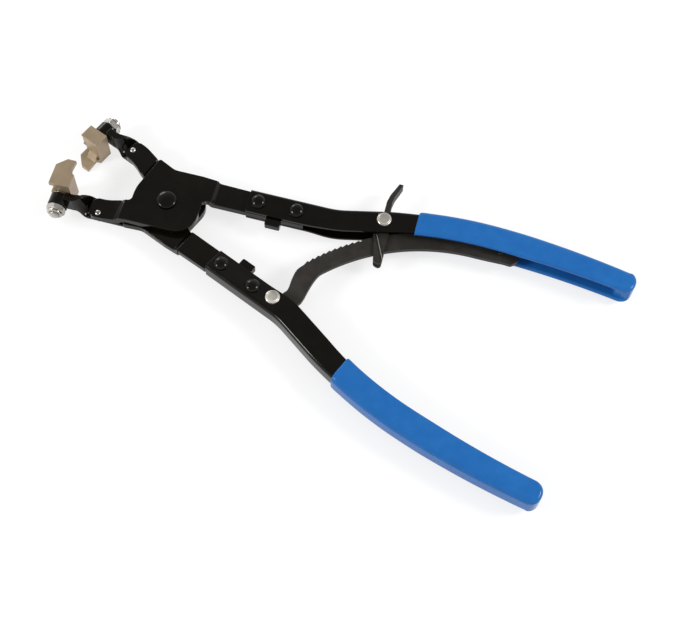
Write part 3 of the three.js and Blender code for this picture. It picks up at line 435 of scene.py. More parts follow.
class NodeBuilder:
    """Small helper that lays out shader nodes in one tree."""

    def __init__(self, tree: bpy.types.NodeTree) -> None:
        """Keeps the tree to work in, a material's, a world's or a group's."""
        self.tree = tree

    @classmethod
    def anew(cls, owner: "bpy.types.Material | bpy.types.World") -> "NodeBuilder":
        """Clears the tree of a material or a world, to lay it out anew.

        Args:
            owner: The material or the world.

        Returns:
            A helper for its empty tree.
        """
        owner.use_nodes = True
        owner.node_tree.nodes.clear()
        return cls(owner.node_tree)

    def node(self, kind: str, inputs: "dict[str | int, object] | None" = None,
             **settings: object) -> bpy.types.Node:
        """Adds a node.

        Args:
            kind: The node's type name.
            inputs: What goes into its sockets: another node's socket, or a constant.
            settings: Its properties.

        Returns:
            The node.
        """
        made = self.tree.nodes.new(kind)
        for key, value in settings.items():
            setattr(made, key, value)
        for key, value in (inputs or {}).items():
            if isinstance(value, Socket):
                self.tree.links.new(value, made.inputs[key])
            else:
                made.inputs[key].default_value = value
        return made

    def noise(self, vector: Socket, scale: float, detail: float, rough: float) -> Socket:
        """Adds a noise pattern on the given coordinates and gives its factor.

        Args:
            vector: The coordinates that it reads.
            scale: How fine it is.
            detail: How many finer layers it has.
            rough: How strong the finer layers are.

        Returns:
            Its factor socket.
        """
        return self.node("ShaderNodeTexNoise", {
            "Vector": vector, "Scale": scale, "Detail": detail,
            "Roughness": rough}).outputs["Fac"]

    def stretch(self, vector: Socket, scale: tuple[float, float, float],
                degrees: float) -> Socket:
        """Scales coordinates and turns them about the Z axis.

        Args:
            vector: The coordinates that it reads.
            scale: The scale along each axis.
            degrees: The turn.

        Returns:
            The new coordinates.
        """
        return self.node("ShaderNodeMapping", {
            "Vector": vector, "Scale": scale,
            "Rotation": (0, 0, math.radians(degrees))}).outputs["Vector"]

    def spread(self, value: Socket, low: float, high: float,
               out_low: float = 0.0, out_high: float = 1.0) -> Socket:
        """Maps a value from low and high to out_low and out_high, held at both ends.

        Args:
            value: The socket to map.
            low: The value that becomes out_low.
            high: The value that becomes out_high.
            out_low: The result at low.
            out_high: The result at high.

        Returns:
            The mapped socket.
        """
        return self.node("ShaderNodeMapRange", {
            "Value": value, "From Min": low, "From Max": high, "To Min": out_low,
            "To Max": out_high}).outputs["Result"]

    def math(self, how: str, a: Socket,
             b: "Socket | float") -> Socket:
        """Works out the named operation on a socket and another socket or a number."""
        return self.node("ShaderNodeMath", {0: a, 1: b}, operation=how).outputs[0]

    def seen(self) -> Socket:
        """Gives 1 for rays that show a surface, straight or mirrored, and 0 for the others.

        Returns:
            Its socket.
        """
        path = self.node("ShaderNodeLightPath").outputs
        mirrored = self.math("MAXIMUM", path["Is Glossy Ray"], path["Is Transmission Ray"])
        return self.math("MAXIMUM", path["Is Camera Ray"], mirrored)


class SurfaceGroups:
    """Shader groups that several finishes share; each is built once."""

    def __init__(self) -> None:
        """Builds the groups."""
        self.peel = self._build("sprayed_skin", self._peel)
        self.grain = self._build("satin_grain", self._grain)
        self.handling = self._build("handling_marks", self._handling)

    @staticmethod
    def _build(name: str, fill: Callable[[NodeBuilder, Socket], dict]) -> bpy.types.NodeTree:
        """Makes a group with a vector and a scale going in.

        Args:
            name: The group's name.
            fill: Lays out its inside and gives the output sockets by name.

        Returns:
            The node group.
        """
        tree = bpy.data.node_groups.new(name, "ShaderNodeTree")
        face = tree.interface
        face.new_socket("Vector", in_out="INPUT", socket_type="NodeSocketVector")
        size = face.new_socket("Scale", in_out="INPUT", socket_type="NodeSocketFloat")
        size.default_value = 1.0
        build = NodeBuilder(tree)
        source = build.node("NodeGroupInput").outputs
        grow = build.node("ShaderNodeVectorMath", {
            0: source["Vector"], "Scale": source["Scale"]}, operation="SCALE")
        results = fill(build, grow.outputs["Vector"])
        for key in results:
            face.new_socket(key, in_out="OUTPUT", socket_type="NodeSocketFloat")
        build.node("NodeGroupOutput", results)
        return tree

    @staticmethod
    def _peel(build: NodeBuilder, vector: Socket) -> dict:
        """Lays out the faint waviness and dust nibs of a sprayed or dipped coat.

        Args:
            build: The helper for the group's tree.
            vector: The coordinates that it reads.

        Returns:
            The output sockets by name.
        """
        wave = build.noise(vector, 300, 1, 0.4)
        fine = build.noise(vector, 1300, 1, 0.4)
        nibs = build.node("ShaderNodeTexVoronoi", {"Vector": vector, "Scale": 230})
        specks = build.spread(nibs.outputs["Distance"], 0.05, 0.13, 1.0, 0.0)
        height = build.math("ADD", wave, build.math("MULTIPLY", fine, 0.12))
        return {"Height": build.math("ADD", height, build.math("MULTIPLY", specks, 0.5)),
                "Mask": build.noise(vector, 55, 3, 0.55)}

    @staticmethod
    def _grain(build: NodeBuilder, vector: Socket) -> dict:
        """Lays out fine scratches that run mostly one way, over a cast skin.

        Args:
            build: The helper for the group's tree.
            vector: The coordinates that it reads.

        Returns:
            The output sockets by name.
        """
        lines = build.noise(build.stretch(vector, (1, 9, 3), 24), 520, 4, 0.65)
        skin = build.noise(vector, 900, 3, 0.6)
        cross = build.noise(build.stretch(vector, (7, 1, 2), -37), 260, 2, 0.5)
        strays = build.spread(cross, 0.66, 0.74)
        height = build.math("ADD", lines, build.math("MULTIPLY", skin, 0.5))
        return {"Height": build.math("SUBTRACT", height, build.math("MULTIPLY", strays, 0.4)),
                "Mask": lines}

    @staticmethod
    def _handling(build: NodeBuilder, vector: Socket) -> dict:
        """Lays out large soft smears where the surface has been handled.

        Args:
            build: The helper for the group's tree.
            vector: The coordinates that it reads.

        Returns:
            The output sockets by name.
        """
        broad = build.noise(vector, 38, 4, 0.6)
        small = build.noise(vector, 170, 3, 0.6)
        return {"Mask": build.spread(build.math("MULTIPLY", broad, small), 0.16, 0.36)}


@dataclass(frozen=True)
class Finish:
    """A procedural finish: its colours, its gloss and how its surface is broken up."""

    name: str
    slot: str
    deep: tuple[float, float, float]
    pale: tuple[float, float, float]
    metallic: float
    gloss: Point
    group: str
    scale: float
    bump: float
    bump_depth: float
    specular: float = 0.5

    def build(self, groups: SurfaceGroups) -> bpy.types.Material:
        """Makes the material.

        Args:
            groups: The shared shader groups.

        Returns:
            The material.
        """
        material = bpy.data.materials.new(self.name)
        build = NodeBuilder.anew(material)
        place = build.node("ShaderNodeTexCoord").outputs["Object"]
        surface = build.node("ShaderNodeGroup", {"Vector": place, "Scale": self.scale},
                             node_tree=getattr(groups, self.group))
        smears = build.node("ShaderNodeGroup", {"Vector": place, "Scale": 1.0},
                            node_tree=groups.handling)
        blend = build.math("ADD", build.math("MULTIPLY", surface.outputs["Mask"], 0.6),
                           build.math("MULTIPLY", smears.outputs["Mask"], 0.4))
        tint = build.node("ShaderNodeMix", {
            "A": (*self.deep, 1), "B": (*self.pale, 1),
            "Factor": build.spread(blend, 0.2, 0.8)}, data_type="RGBA")
        relief = build.node("ShaderNodeBump", {
            "Strength": self.bump, "Distance": self.bump_depth * MM,
            "Height": surface.outputs["Height"]})
        shader = build.node("ShaderNodeBsdfPrincipled", {
            "Base Color": tint.outputs["Result"],
            "Roughness": build.spread(blend, 0.15, 0.8, *self.gloss),
            "Normal": relief.outputs["Normal"], "Metallic": self.metallic,
            "Specular IOR Level": self.specular})
        build.node("ShaderNodeOutputMaterial", {"Surface": shader.outputs["BSDF"]})
        return material


BLACK_PAINT = Finish("black_gloss_paint", "black_paint", (0.0020, 0.0014, 0.0005),
                     (0.0046, 0.0034, 0.0016), 0.0, (0.05, 0.14), "peel", 1.0, 0.08, 0.02,
                     specular=0.22)
BLUE_VINYL = Finish("blue_dipped_vinyl", "grip", (0.014, 0.126, 0.402),
                    (0.020, 0.148, 0.445), 0.0, (0.1, 0.2), "peel", 0.45, 0.03, 0.04,
                    specular=0.15)
SATIN_NICKEL = Finish("satin_nickel_plate", "nickel", (0.34, 0.255, 0.163),
                      (0.42, 0.322, 0.218), 0.5, (0.3, 0.42), "grain", 1.0, 0.3, 0.03)
BRIGHT_STEEL = Finish("bright_plated_steel", "bright_steel", (0.27, 0.255, 0.235),
                      (0.68, 0.65, 0.605), 1.0, (0.08, 0.2), "grain", 0.8, 0.3, 0.03)
PLATED_HEAD = Finish("plated_rivet_head", "bright_steel", (0.58, 0.55, 0.485),
                     (0.86, 0.83, 0.75), 1.0, (0.26, 0.42), "grain", 0.8, 0.35, 0.03)
DARK_STEEL = Finish("dark_oxide_steel", "dark_steel", (0.021, 0.0185, 0.0155),
                    (0.040, 0.0355, 0.030), 0.2, (0.4, 0.58), "grain", 0.9, 0.3, 0.03,
                    specular=0.24)


class Piece(NamedTuple):
    """A shaped piece with all that it needs to be finished."""

    mould: Mould
    name: str
    smooth: float
    finish: Finish
    node: str


class PaintShop:
    """Holds the finishes and dresses pieces in them."""

    def __init__(self) -> None:
        """Builds every finish's material once."""
        groups = SurfaceGroups()
        kinds = (BLACK_PAINT, BLUE_VINYL, SATIN_NICKEL, BRIGHT_STEEL, PLATED_HEAD, DARK_STEEL)
        self.materials = {kind.name: kind.build(groups) for kind in kinds}

    def dress(self, piece: Piece, body: Body) -> None:
        """Gives a piece its material and its body, and hides the solid that it stands for.

        Args:
            piece: The shaped piece.
            body: The body that it rides on.
        """
        item = piece.mould.release(piece.name, piece.smooth)
        item.data.materials.clear()
        item.data.materials.append(self.materials[piece.finish.name])
        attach(item, body.value)
        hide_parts(piece.node)
        log.info("%s rides on %s, %d faces", item.name, body.value, len(item.data.polygons))


class SubAssembly:
    """Pieces that ride on one body and are made together."""

    body: Body

    def pieces(self) -> Iterator[Piece]:
        """Makes the pieces one after the other."""
        raise NotImplementedError

    def build(self, shop: PaintShop) -> None:
        """Makes and dresses every piece.

        Args:
            shop: Where they get their finishes.
        """
        for piece in self.pieces():
            shop.dress(piece, self.body)


@dataclass(frozen=True)
class HandleForm:
    """The middle line and the folded section of a handle, in millimetres."""

    start_x: float = 39.3
    start_y: float = 11.1
    width: float = 12.2
    waist: float = 11.4
    end_width: float = 9.5
    web_half: float = 5.1
    web_end_half: float = 5.5
    pinch_half: float = 3.6
    fold_radius: float = 2.0
    fold_steps: int = 9
    sheet: float = 1.4
    pinched_run: float = 30.0
    opening_run: float = 9.7
    kink_radius: float = 48.0
    kink_turn: float = math.radians(13)
    slope_run: float = 20.4
    back_radius: float = 200.0
    back_turn: float = math.radians(-15.5)
    tail_radius: float = 480.0
    tail_turn: float = math.radians(-8)
    grip_start: float = 124.0

    def runs(self) -> list[Point]:
        """Gives the middle line's runs as pairs of length and turn.

        Returns:
            The pairs in order.
        """
        return [
            (self.pinched_run + self.opening_run, 0.0),
            (self.kink_radius * self.kink_turn, self.kink_turn),
            (self.slope_run, 0.0),
            (self.back_radius * abs(self.back_turn), self.back_turn),
            (self.tail_radius * abs(self.tail_turn), self.tail_turn),
        ]

    def length(self) -> float:
        """Gives the length of the middle line."""
        return sum(run for run, _ in self.runs())

    def place(self, distance: float) -> tuple[float, float, float]:
        """Follows the middle line.

        Args:
            distance: How far along it to go.

        Returns:
            The x, the y and the heading there.
        """
        x, y, heading, left = self.start_x, self.start_y, 0.0, distance
        runs = self.runs()
        for k, (run, full_turn) in enumerate(runs):
            part = left if k == len(runs) - 1 else min(left, run)
            turn = full_turn * part / run
            chord = part * math.sin(turn / 2) / (turn / 2) if turn else part
            x += chord * math.cos(heading + turn / 2)
            y += chord * math.sin(heading + turn / 2)
            heading += turn
            left -= part
            if left <= 0:
                break
        return x, y, heading

    def distance_at(self, x: float) -> float:
        """Finds the distance at which the middle line passes an x.

        Args:
            x: The x to reach.

        Returns:
            The distance along the line.
        """
        low, high = 0.0, self.length()
        for _ in range(40):
            middle = (low + high) / 2
            if self.place(middle)[0] < x:
                low = middle
            else:
                high = middle
        return low

    def sizes(self, distance: float) -> tuple[float, float, float]:
        """Gives the section's sizes.

        Args:
            distance: How far along the middle line.

        Returns:
            The width, the web's half height and the flange tips' half height.
        """
        open_end = self.pinched_run + self.opening_run + self.kink_radius * self.kink_turn / 2
        share = clamp((distance - self.pinched_run) / (open_end - self.pinched_run))
        grip_at = self.grip_start - self.start_x
        end = self.length()
        slope_end = (self.pinched_run + self.opening_run
                     + self.kink_radius * self.kink_turn + self.slope_run)
        width = along_line(distance, [
            (slope_end, self.width), (grip_at, self.waist),
            ((grip_at + end) / 2, self.waist), (end, self.end_width)])
        web = along_line(distance, [(grip_at, self.web_half), (end, self.web_end_half)])
        return width, web, mix(self.pinch_half, web, eased(share))

    def section(self, distance: float) -> list[Point]:
        """Draws the folded sheet's section.

        Args:
            distance: How far along the middle line.

        Returns:
            Its points: how far out, and how high.
        """
        width, web, tip = self.sizes(distance)
        out_x, outer_r, thick = width / 2, self.fold_radius, self.sheet
        inner_r = outer_r - thick
        quarter = steps(math.pi / 2, 0, self.fold_steps)
        outer = [(-out_x, tip)]
        outer += arc(out_x - outer_r, web - outer_r, outer_r, outer_r, quarter)
        inner = [(-out_x, tip - thick)]
        inner += arc(out_x - thick - inner_r, web - thick - inner_r, inner_r, inner_r, quarter)
        points = outer + [(x, -z) for x, z in reversed(outer)]
        return points + [(x, -z) for x, z in inner] + inner[::-1]

    def carry(self, distance: float, points: Sequence[Point]) -> list[Vector]:
        """Carries section points to their place along the handle.

        Args:
            distance: How far along the middle line.
            points: The points: how far out, and how high.

        Returns:
            The points in the half's frame.
        """
        x, y, heading = self.place(distance)
        side = Vector((-math.sin(heading), math.cos(heading), 0))
        return [Vector((x, y, 0)) + side * a + Vector((0, 0, z)) for a, z in points]

    def flange(self, x: float, y: float) -> tuple[float, float]:
        """Gives the level and the slope of the flange's outer face at a point.

        Args:
            x: The point's place along the half.
            y: Its place across the half.

        Returns:
            The level, and the slope's angle.
        """
        distance = self.distance_at(x)
        _, mid_y, heading = self.place(distance)
        offset = (y - mid_y) / math.cos(heading)
        width, web, tip = self.sizes(distance)
        slope = (web - tip) / (width - self.fold_radius)
        return tip + slope * (offset + width / 2), math.atan(slope)


@dataclass
class Handle(SubAssembly):
    """One handle: its folded channel, its dipped grip and its rivets."""

    half: Half
    body: Body
    word: str
    bright_rivet: tuple[float, float, str]
    form: HandleForm = field(default_factory=HandleForm)
    coat_out: float = 1.1
    wall: float = 2.75
    lip_radius: float = 1.25
    lip_run: float = 7.0
    sheet_roll: float = 0.22
    groove: float = 1.9
    plug: float = 3.0
    tip: float = 5.2
    tip_edge: float = 2.0
    tip_power: float = 2.2
    dip_lean: float = 0.15
    lean_fade: float = 20.0
    closing_run: float = 12.0
    rivet_y: float = 10.9
    rivet_first: float = 44.5
    rivet_second: float = 64.3
    shank_radius: float = 2.0
    dome_radius: float = 3.8
    dome_height: float = 2.6
    flat_radius: float = 3.7
    flat_height: float = 1.5
    slot: "tuple[float, float, float, float, float] | None" = None

    def channel(self) -> Mould:
        """Makes the folded channel with rolled edges and its slot.

        Returns:
            The shape.
        """
        form = self.form
        marks = steps(0, form.pinched_run, 8) + steps(form.pinched_run, form.length(), 90)[1:]
        mould = Mould().sweep([form.carry(s, form.section(s)) for s in marks])
        mould.roll_edges(self.sheet_roll, 40)
        if self.slot:
            x0, x1, y0, y1, half_z = self.slot
            mould.combine(Mould().prism(
                [(x0, y0), (x1, y0), (x1, y1), (x0, y1)], -half_z, half_z), "DIFFERENCE")
        return mould.place(self.half.matrix())

    def coat_ring(self, s: float, swell: float) -> list[Vector]:
        """Draws the coat's outside as a closed ring, rounded at its four corners.

        Args:
            s: The distance along the handle; past its end the ring closes over the tip.
            swell: How far the ring lies outside the coat's usual surface.

        Returns:
            The ring's points in the half's frame.
        """
        form = self.form
        past = max(s - form.length(), 0.0)
        width, web, _ = form.sizes(min(s, form.length()))
        half_w, half_h = width / 2 + self.coat_out + swell, web + self.coat_out + swell
        ease = eased(clamp(past / (0.4 * self.tip)))
        run = s - form.distance_at(form.grip_start)
        lean = self.dip_lean * clamp(1 - (run - self.lip_run) / self.lean_fade)
        points = []
        for side, high in ((1, 1), (-1, 1), (-1, -1), (1, -1)):
            corner = form.fold_radius + self.coat_out if side > 0 else self.lip_radius
            radius = mix(corner, self.tip_edge, ease)
            depth = min(radius, 0.98 * (self.tip - past)) if past else radius
            quarter = []
            for a in steps(0, math.pi / 2, 8):
                inset = depth * (1 - math.cos(a))
                reach = 1 - (past / (self.tip - inset)) ** self.tip_power if past else 1
                lateral = (half_w - inset) * max(reach, 1e-4) ** (1 / self.tip_power)
                level = half_h - radius + math.sqrt(radius ** 2 - (radius - inset) ** 2)
                quarter.append((side * lateral, high * level))
            points += quarter if side * high > 0 else quarter[::-1]
        return [form.carry(s + lean * a, [(a, z)])[0] for a, z in points]

    def mouth_ring(self, s: float) -> list[Vector]:
        """Draws the hollow's section, flared at its mouth so that the lips come out round.

        Args:
            s: The distance along the handle, as for the coat's ring.

        Returns:
            The section's points in the half's frame.
        """
        form = self.form
        end = form.length()
        past = max(s - end, 0.0)
        width, web, _ = form.sizes(min(s, end))
        reach = max(1 - (past / self.tip) ** self.tip_power, 0) ** (1 / self.tip_power)
        mouth = -(width / 2 + self.coat_out) * reach
        full = width + 2 * self.coat_out - self.wall
        closing = clamp((s - (end - self.plug - self.closing_run)) / self.closing_run)
        deep = mix(self.groove, full, math.sqrt(1 - closing ** 2))
        deep -= (self.groove + 0.1) * clamp(past / (0.85 * self.tip))
        high = (web + self.coat_out - self.wall) * (1 - 0.12 * clamp(past / self.tip))
        flare = self.lip_radius
        run = min(flare, deep + 0.2)
        upper = [(mouth - 2, high + flare)]
        for t in steps(-0.05, 1, 6):
            inside = max(t, 0) * run
            rise = flare - math.sqrt(flare ** 2 - (flare - inside) ** 2)
            upper.append((mouth + t * run - 0.001, high + rise))
        round_r = min(1.6, 0.4 * abs(deep - run) + 0.05)
        upper += arc(mouth + max(deep, run + 0.1) - round_r, high - round_r, round_r, round_r,
                     steps(math.pi / 2, 0, 5))
        return form.carry(s, upper + [(x, -z) for x, z in reversed(upper)])

    def grip(self) -> Mould:
        """Makes the dipped coat with its rolled lip, open inside and rounded tip.

        Returns:
            The shape.
        """
        form = self.form
        start = form.distance_at(form.grip_start)
        end = form.length()
        lip = [(0.0, -0.75), (0.12, -0.42), (0.38, -0.14), (0.75, 0.0), (2.2, 0.06), (3.6, 0.06),
               (5.5, 0.0)]
        rows = [self.coat_ring(start + offset, swell) for offset, swell in lip]
        rows += [self.coat_ring(s, 0.0) for s in steps(start + self.lip_run, end, 64)]
        rows += [self.coat_ring(end + self.tip * math.sin(a), 0.0)
                 for a in steps(0, math.radians(85), 16)[1:]]
        coat = Mould().sweep(rows)
        shut = end - self.plug - self.closing_run
        marks = steps(start - 3, shut, 60)
        marks += [shut + self.closing_run * math.sin(a) for a in steps(0, math.pi / 2, 12)[1:]]
        marks += steps(end - self.plug, end + 0.8 * self.tip, 18)[1:]
        coat.combine(Mould().sweep([self.mouth_ring(s) for s in marks]), "DIFFERENCE")
        return coat.place(self.half.matrix())

    def head(self, x: float, y: float, profile: Sequence[Point]) -> Mould:
        """Makes both heads of a rivet, each on its flange's slope.

        Args:
            x: The rivet's place along the half.
            y: The rivet's place across the half.
            profile: The head's profile, from its foot to the axis.

        Returns:
            The two heads and the shank.
        """
        level, tilt = self.form.flange(x, y)
        seat = Matrix.Translation((x, y, level)) @ Matrix.Rotation(tilt, 4, "X")
        top = Mould().turn(profile).place(seat)
        over = Mould().turn(profile).place(Matrix.Scale(-1, 4, (0, 0, 1)) @ seat)
        shank = Mould().rod(self.shank_radius, -level, level, 32)
        shank.place(Matrix.Translation((x, y, 0)))
        return top.add(over).add(shank).place(self.half.matrix())

    def dome(self) -> list[Point]:
        """Draws a dome head with a crisp foot.

        Returns:
            Its profile, from its foot to the axis.
        """
        rise = arc(0, 0, self.dome_radius, self.dome_height,
                   steps(math.radians(8), math.pi / 2, 16))
        rise[-1] = (0.0, self.dome_height)
        return [(0, -0.25), (self.dome_radius, -0.25), (self.dome_radius, 0.1)] + rise

    def flat(self) -> list[Point]:
        """Draws a flat head with a raised rim round a shallow dish.

        Returns:
            Its profile, from its foot to the axis.
        """
        r, h = self.flat_radius, self.flat_height
        return [(0, -0.25), (r, -0.25), (r, h - 0.7), (r - 0.1, h - 0.35), (r - 0.32, h - 0.08),
                (r - 0.6, h), (r - 0.85, h - 0.06), (r - 1.1, h - 0.22), (r - 1.6, h - 0.27),
                (0.0, h - 0.24)]

    def pieces(self) -> Iterator[Piece]:
        """Makes the channel, the grip, both dome rivets and the bright one.

        Yields:
            Each piece in the tool's frame.
        """
        word = self.word
        yield Piece(self.channel(), f"{word}_channel", 40, BLACK_PAINT, f"{word}_handle_channel")
        yield Piece(self.grip(), f"{word}_grip", 46, BLUE_VINYL, f"{word}_handle_grip")
        for where, x in (("front", self.rivet_first), ("rear", self.rivet_second)):
            yield Piece(self.head(x, self.rivet_y, self.dome()), f"{word}_dome_rivet_{where}",
                        60, BLACK_PAINT, f"{word}_rivet_{where}")
        x, y, node = self.bright_rivet
        yield Piece(self.head(x, y, self.flat()), f"{node}_heads", 50, PLATED_HEAD, node)


@dataclass
class JawArm(SubAssembly):
    """The plate of one half with the twisted neck and the small pin at its end."""

    half: Half
    body: Body
    plate_node: str
    word: str
    side: int
    pin_x: float
    pin_y: float
    arm_shift: float
    neck_shift: float
    strip_start: float
    arm_end: float = 36.4
    twist_gap: float = 0.3
    plate_half: float = 1.95
    seat: float = 0.1
    neck_width: float = 9.4
    neck_thick: float = 2.0
    neck_y: float = 11.6
    flare: float = 2.2
    flare_run: float = 2.4
    fine_run: float = 1.6
    twist_run: float = 9.0
    eye_width: float = 9.6
    eye_thick: float = 4.0
    eye_radius: float = 5.0
    eye_edge: float = 0.35
    eye_length: float = 6.0
    eye_y: float = -12.8
    bore_radius: float = 2.8
    swing_radius: float = 11.47
    swing_lip: float = 0.9
    swing_depth: float = 14.0
    hub_radius: float = 4.6
    pin_radius: float = 1.5
    pin_shank: float = 0.9
    pin_head: float = 0.8
    plate_weld: float = 0.3
    plate_bend: float = 0.7
    plate_roll: float = 0.35
    neck_roll: float = 0.55

    def neck_row(self, mark: float) -> list[Vector]:
        """Gives the neck's section at a distance from the pivot.

        Args:
            mark: The distance.

        Returns:
            The four corners and points between them, in the half's frame.
        """
        start = self.arm_end + self.twist_gap
        share = clamp((mark - start) / self.twist_run)
        turned = math.sin(share * math.pi / 2)
        angle = turned * math.pi / 2
        opened = clamp((mark - self.arm_end + self.flare_run) / self.flare_run)
        flare = self.flare * (1 - share) * opened
        half_w = (mix(self.neck_width, self.eye_width, share) + flare) / 2
        half_t = mix(self.neck_thick, self.eye_thick, share) / 2
        middle = mix(-self.neck_y - self.arm_shift, self.eye_y + self.neck_shift, turned)
        level = self.side * (self.plate_half + self.seat + self.neck_thick / 2) * (1 - turned)
        centre = Vector((-mark, middle - self.side * flare / 2, level))
        across = Vector((0, math.cos(angle), math.sin(angle)))
        up = Vector((0, -math.sin(angle), math.cos(angle)))
        wide = steps(-1, 1, 4)
        ring = [(u, 1) for u in reversed(wide)] + [(u, -1) for u in wide]
        return [centre + across * u * half_w + up * v * half_t for u, v in ring]

    def neck(self) -> Mould:
        """Makes the twisted neck with its eye.

        Returns:
            The shape.
        """
        marks = [self.strip_start, self.arm_end - self.flare_run] + steps(
            self.arm_end - self.fine_run, self.arm_end + self.twist_gap + self.twist_run, 44)
        marks += [EYE_X - self.eye_radius / 2]
        strip = Mould().sweep([self.neck_row(mark) for mark in marks])
        low, high = self.eye_y - self.eye_length / 2, self.eye_y + self.eye_length / 2
        r, soft, hub, wide = self.eye_radius, self.eye_edge, self.hub_radius, self.swing_radius
        barrel = Mould().turn([(0, low), (r - soft, low), (r, low + soft), (r, high - soft),
                               (r - soft, high), (0, high)], 56)
        bore = Mould().rod(self.bore_radius, low - 2, high + 2, 40)
        lip, top = high + self.swing_lip, high + self.swing_depth
        swing = Mould().turn([(0, high), (hub, high), (hub, lip), (wide, lip), (wide, top),
                              (0, top)], 72)
        strip.roll_edges(self.neck_roll, 50, 4)
        for tool, how in ((barrel, "UNION"), (bore, "DIFFERENCE"), (swing, "DIFFERENCE")):
            strip.combine(tool.place(swivel_stand()), how)
        return strip.place(self.half.matrix())

    def pin(self) -> Mould:
        """Makes the small bright pin with domed heads.

        Returns:
            The shape.
        """
        far = self.side * (self.plate_half + 2 * self.seat + self.neck_thick)
        near = -self.side * (self.plate_half + self.seat)
        low, high = min(far, near), max(far, near)
        cap = arc(0, 0, self.pin_radius, self.pin_head, steps(0, math.pi / 2, 8))
        cap[-1] = (0.0, self.pin_head)
        profile = [(x, low - z) for x, z in reversed(cap)]
        profile += [(self.pin_shank, low), (self.pin_shank, high)]
        profile += [(x, high + z) for x, z in cap]
        spot = Matrix.Translation((-self.pin_x, -self.pin_y, 0))
        return Mould().turn(profile, 40).place(self.half.matrix() @ spot)

    def pieces(self) -> Iterator[Piece]:
        """Makes the plate with rounded bends and rolled edges, the neck and the pin.

        Yields:
            Each piece in the tool's frame.
        """
        node, word = self.plate_node, self.word
        plate = Mould().copy_node(node).weld(self.plate_weld).round_bends(self.plate_bend)
        plate.roll_edges(self.plate_roll, 60, 4, keep_clear=False)
        yield Piece(plate, f"{node}_edged", 36, BLACK_PAINT, node)
        yield Piece(self.neck(), f"{word}_neck", 38, BLACK_PAINT, f"{word}_jaw_neck")
        yield Piece(self.pin(), f"{word}_arm_pin", 50, BRIGHT_STEEL, f"{word}_neck_pin")


@dataclass
class SwivelJaw(SubAssembly):
    """One jaw block on its screw, with the washer and the lock nut behind the eye."""

    half: Half
    body: Body
    word: str
    back: float = 8.8
    screw_radius: float = 2.5
    screw_seat: float = 3.0
    screw_end: float = 1.2
    washer_radius: float = 4.3
    washer_thick: float = 0.6
    nut_flats: float = 8.6
    nut_thick: float = 4.2
    nut_level: float = -20.3
    thread_pitch: float = 0.7
    block_weld: float = 0.17
    block_roll: float = 0.19
    nut_roll: float = 0.12

    def screw(self) -> Mould:
        """Makes the screw with thread rings on its end.

        Returns:
            The shape, upright on the Z axis.
        """
        foot = -self.back + self.screw_seat
        end = self.nut_level - self.screw_end
        r = self.screw_radius
        profile = [(0.0, end), (r - 0.75, end), (r - 0.35, end + 0.25)]
        level = end + 0.3
        while level < self.nut_level + 0.6:
            profile += [(r - 0.05, level + 0.18), (r - 0.05, level + 0.34),
                        (r - 0.32, level + 0.6)]
            level += self.thread_pitch
        profile += [(r, self.nut_level + 2), (r, foot), (0.0, foot)]
        return Mould().turn(profile, 48)

    def washer(self) -> Mould:
        """Makes the thin washer with softened rims.

        Returns:
            The shape, upright on the Z axis.
        """
        low = -(self.back + 0.3 + self.washer_thick)
        high, r, bore = low + self.washer_thick, self.washer_radius, self.screw_radius + 0.3
        profile = [(bore, low), (r - 0.15, low), (r, low + 0.15), (r, high - 0.15),
                   (r - 0.15, high), (bore, high), (bore, low)]
        return Mould().turn(profile, 56)

    def nut(self) -> Mould:
        """Makes the lock nut: a chamfered hexagon with a crimped collar round its insert.

        Returns:
            The shape, upright on the Z axis.
        """
        corner = self.nut_flats / math.sqrt(3)
        flat = self.nut_flats / 2
        low, high = self.nut_level, self.nut_level + self.nut_thick
        six = arc(0, 0, corner, corner, [math.radians(60 * k + 90) for k in range(6)])
        hexagon = Mould().prism(six, low - 1, high + 1)
        bore = self.screw_radius + 0.25
        shape = [(0, low), (bore + 0.5, low), (flat - 1.15, low + 0.02),
                 (flat - 0.62, low + 0.16), (flat - 0.3, low + 0.5), (flat - 0.28, low + 0.85),
                 (flat - 0.8, low + 0.95), (flat - 0.8, low + 1.15), (flat - 0.15, low + 1.25),
                 (corner, low + 1.85), (corner, high - 0.55), (flat - 0.05, high), (0, high)]
        hexagon.combine(Mould().turn(shape, 72), "INTERSECT")
        hexagon.combine(Mould().rod(bore, low - 1, high + 1, 48), "DIFFERENCE")
        return hexagon.roll_edges(self.nut_roll, 24, 2)

    def pieces(self) -> Iterator[Piece]:
        """Makes the softened block, the screw, the washer and the lock nut.

        Yields:
            Each piece in the tool's frame.
        """
        word = self.word
        block = Mould().copy_node(f"{word}_jaw_block").weld(self.block_weld)
        block.roll_edges(self.block_roll, 25)
        yield Piece(block, f"{word}_jaw_softened", 36, SATIN_NICKEL, f"{word}_jaw_block")
        stand = self.half.matrix() @ swivel_stand()
        for shape, name, smooth, node in ((self.screw, "screw_threaded", 30, "swivel_screw"),
                                          (self.washer, "washer", 40, "swivel_washer"),
                                          (self.nut, "nut_collared", 34, "lock_nut")):
            yield Piece(shape().place(stand), f"{word}_{name}", smooth, BRIGHT_STEEL,
                        f"{word}_{node}")


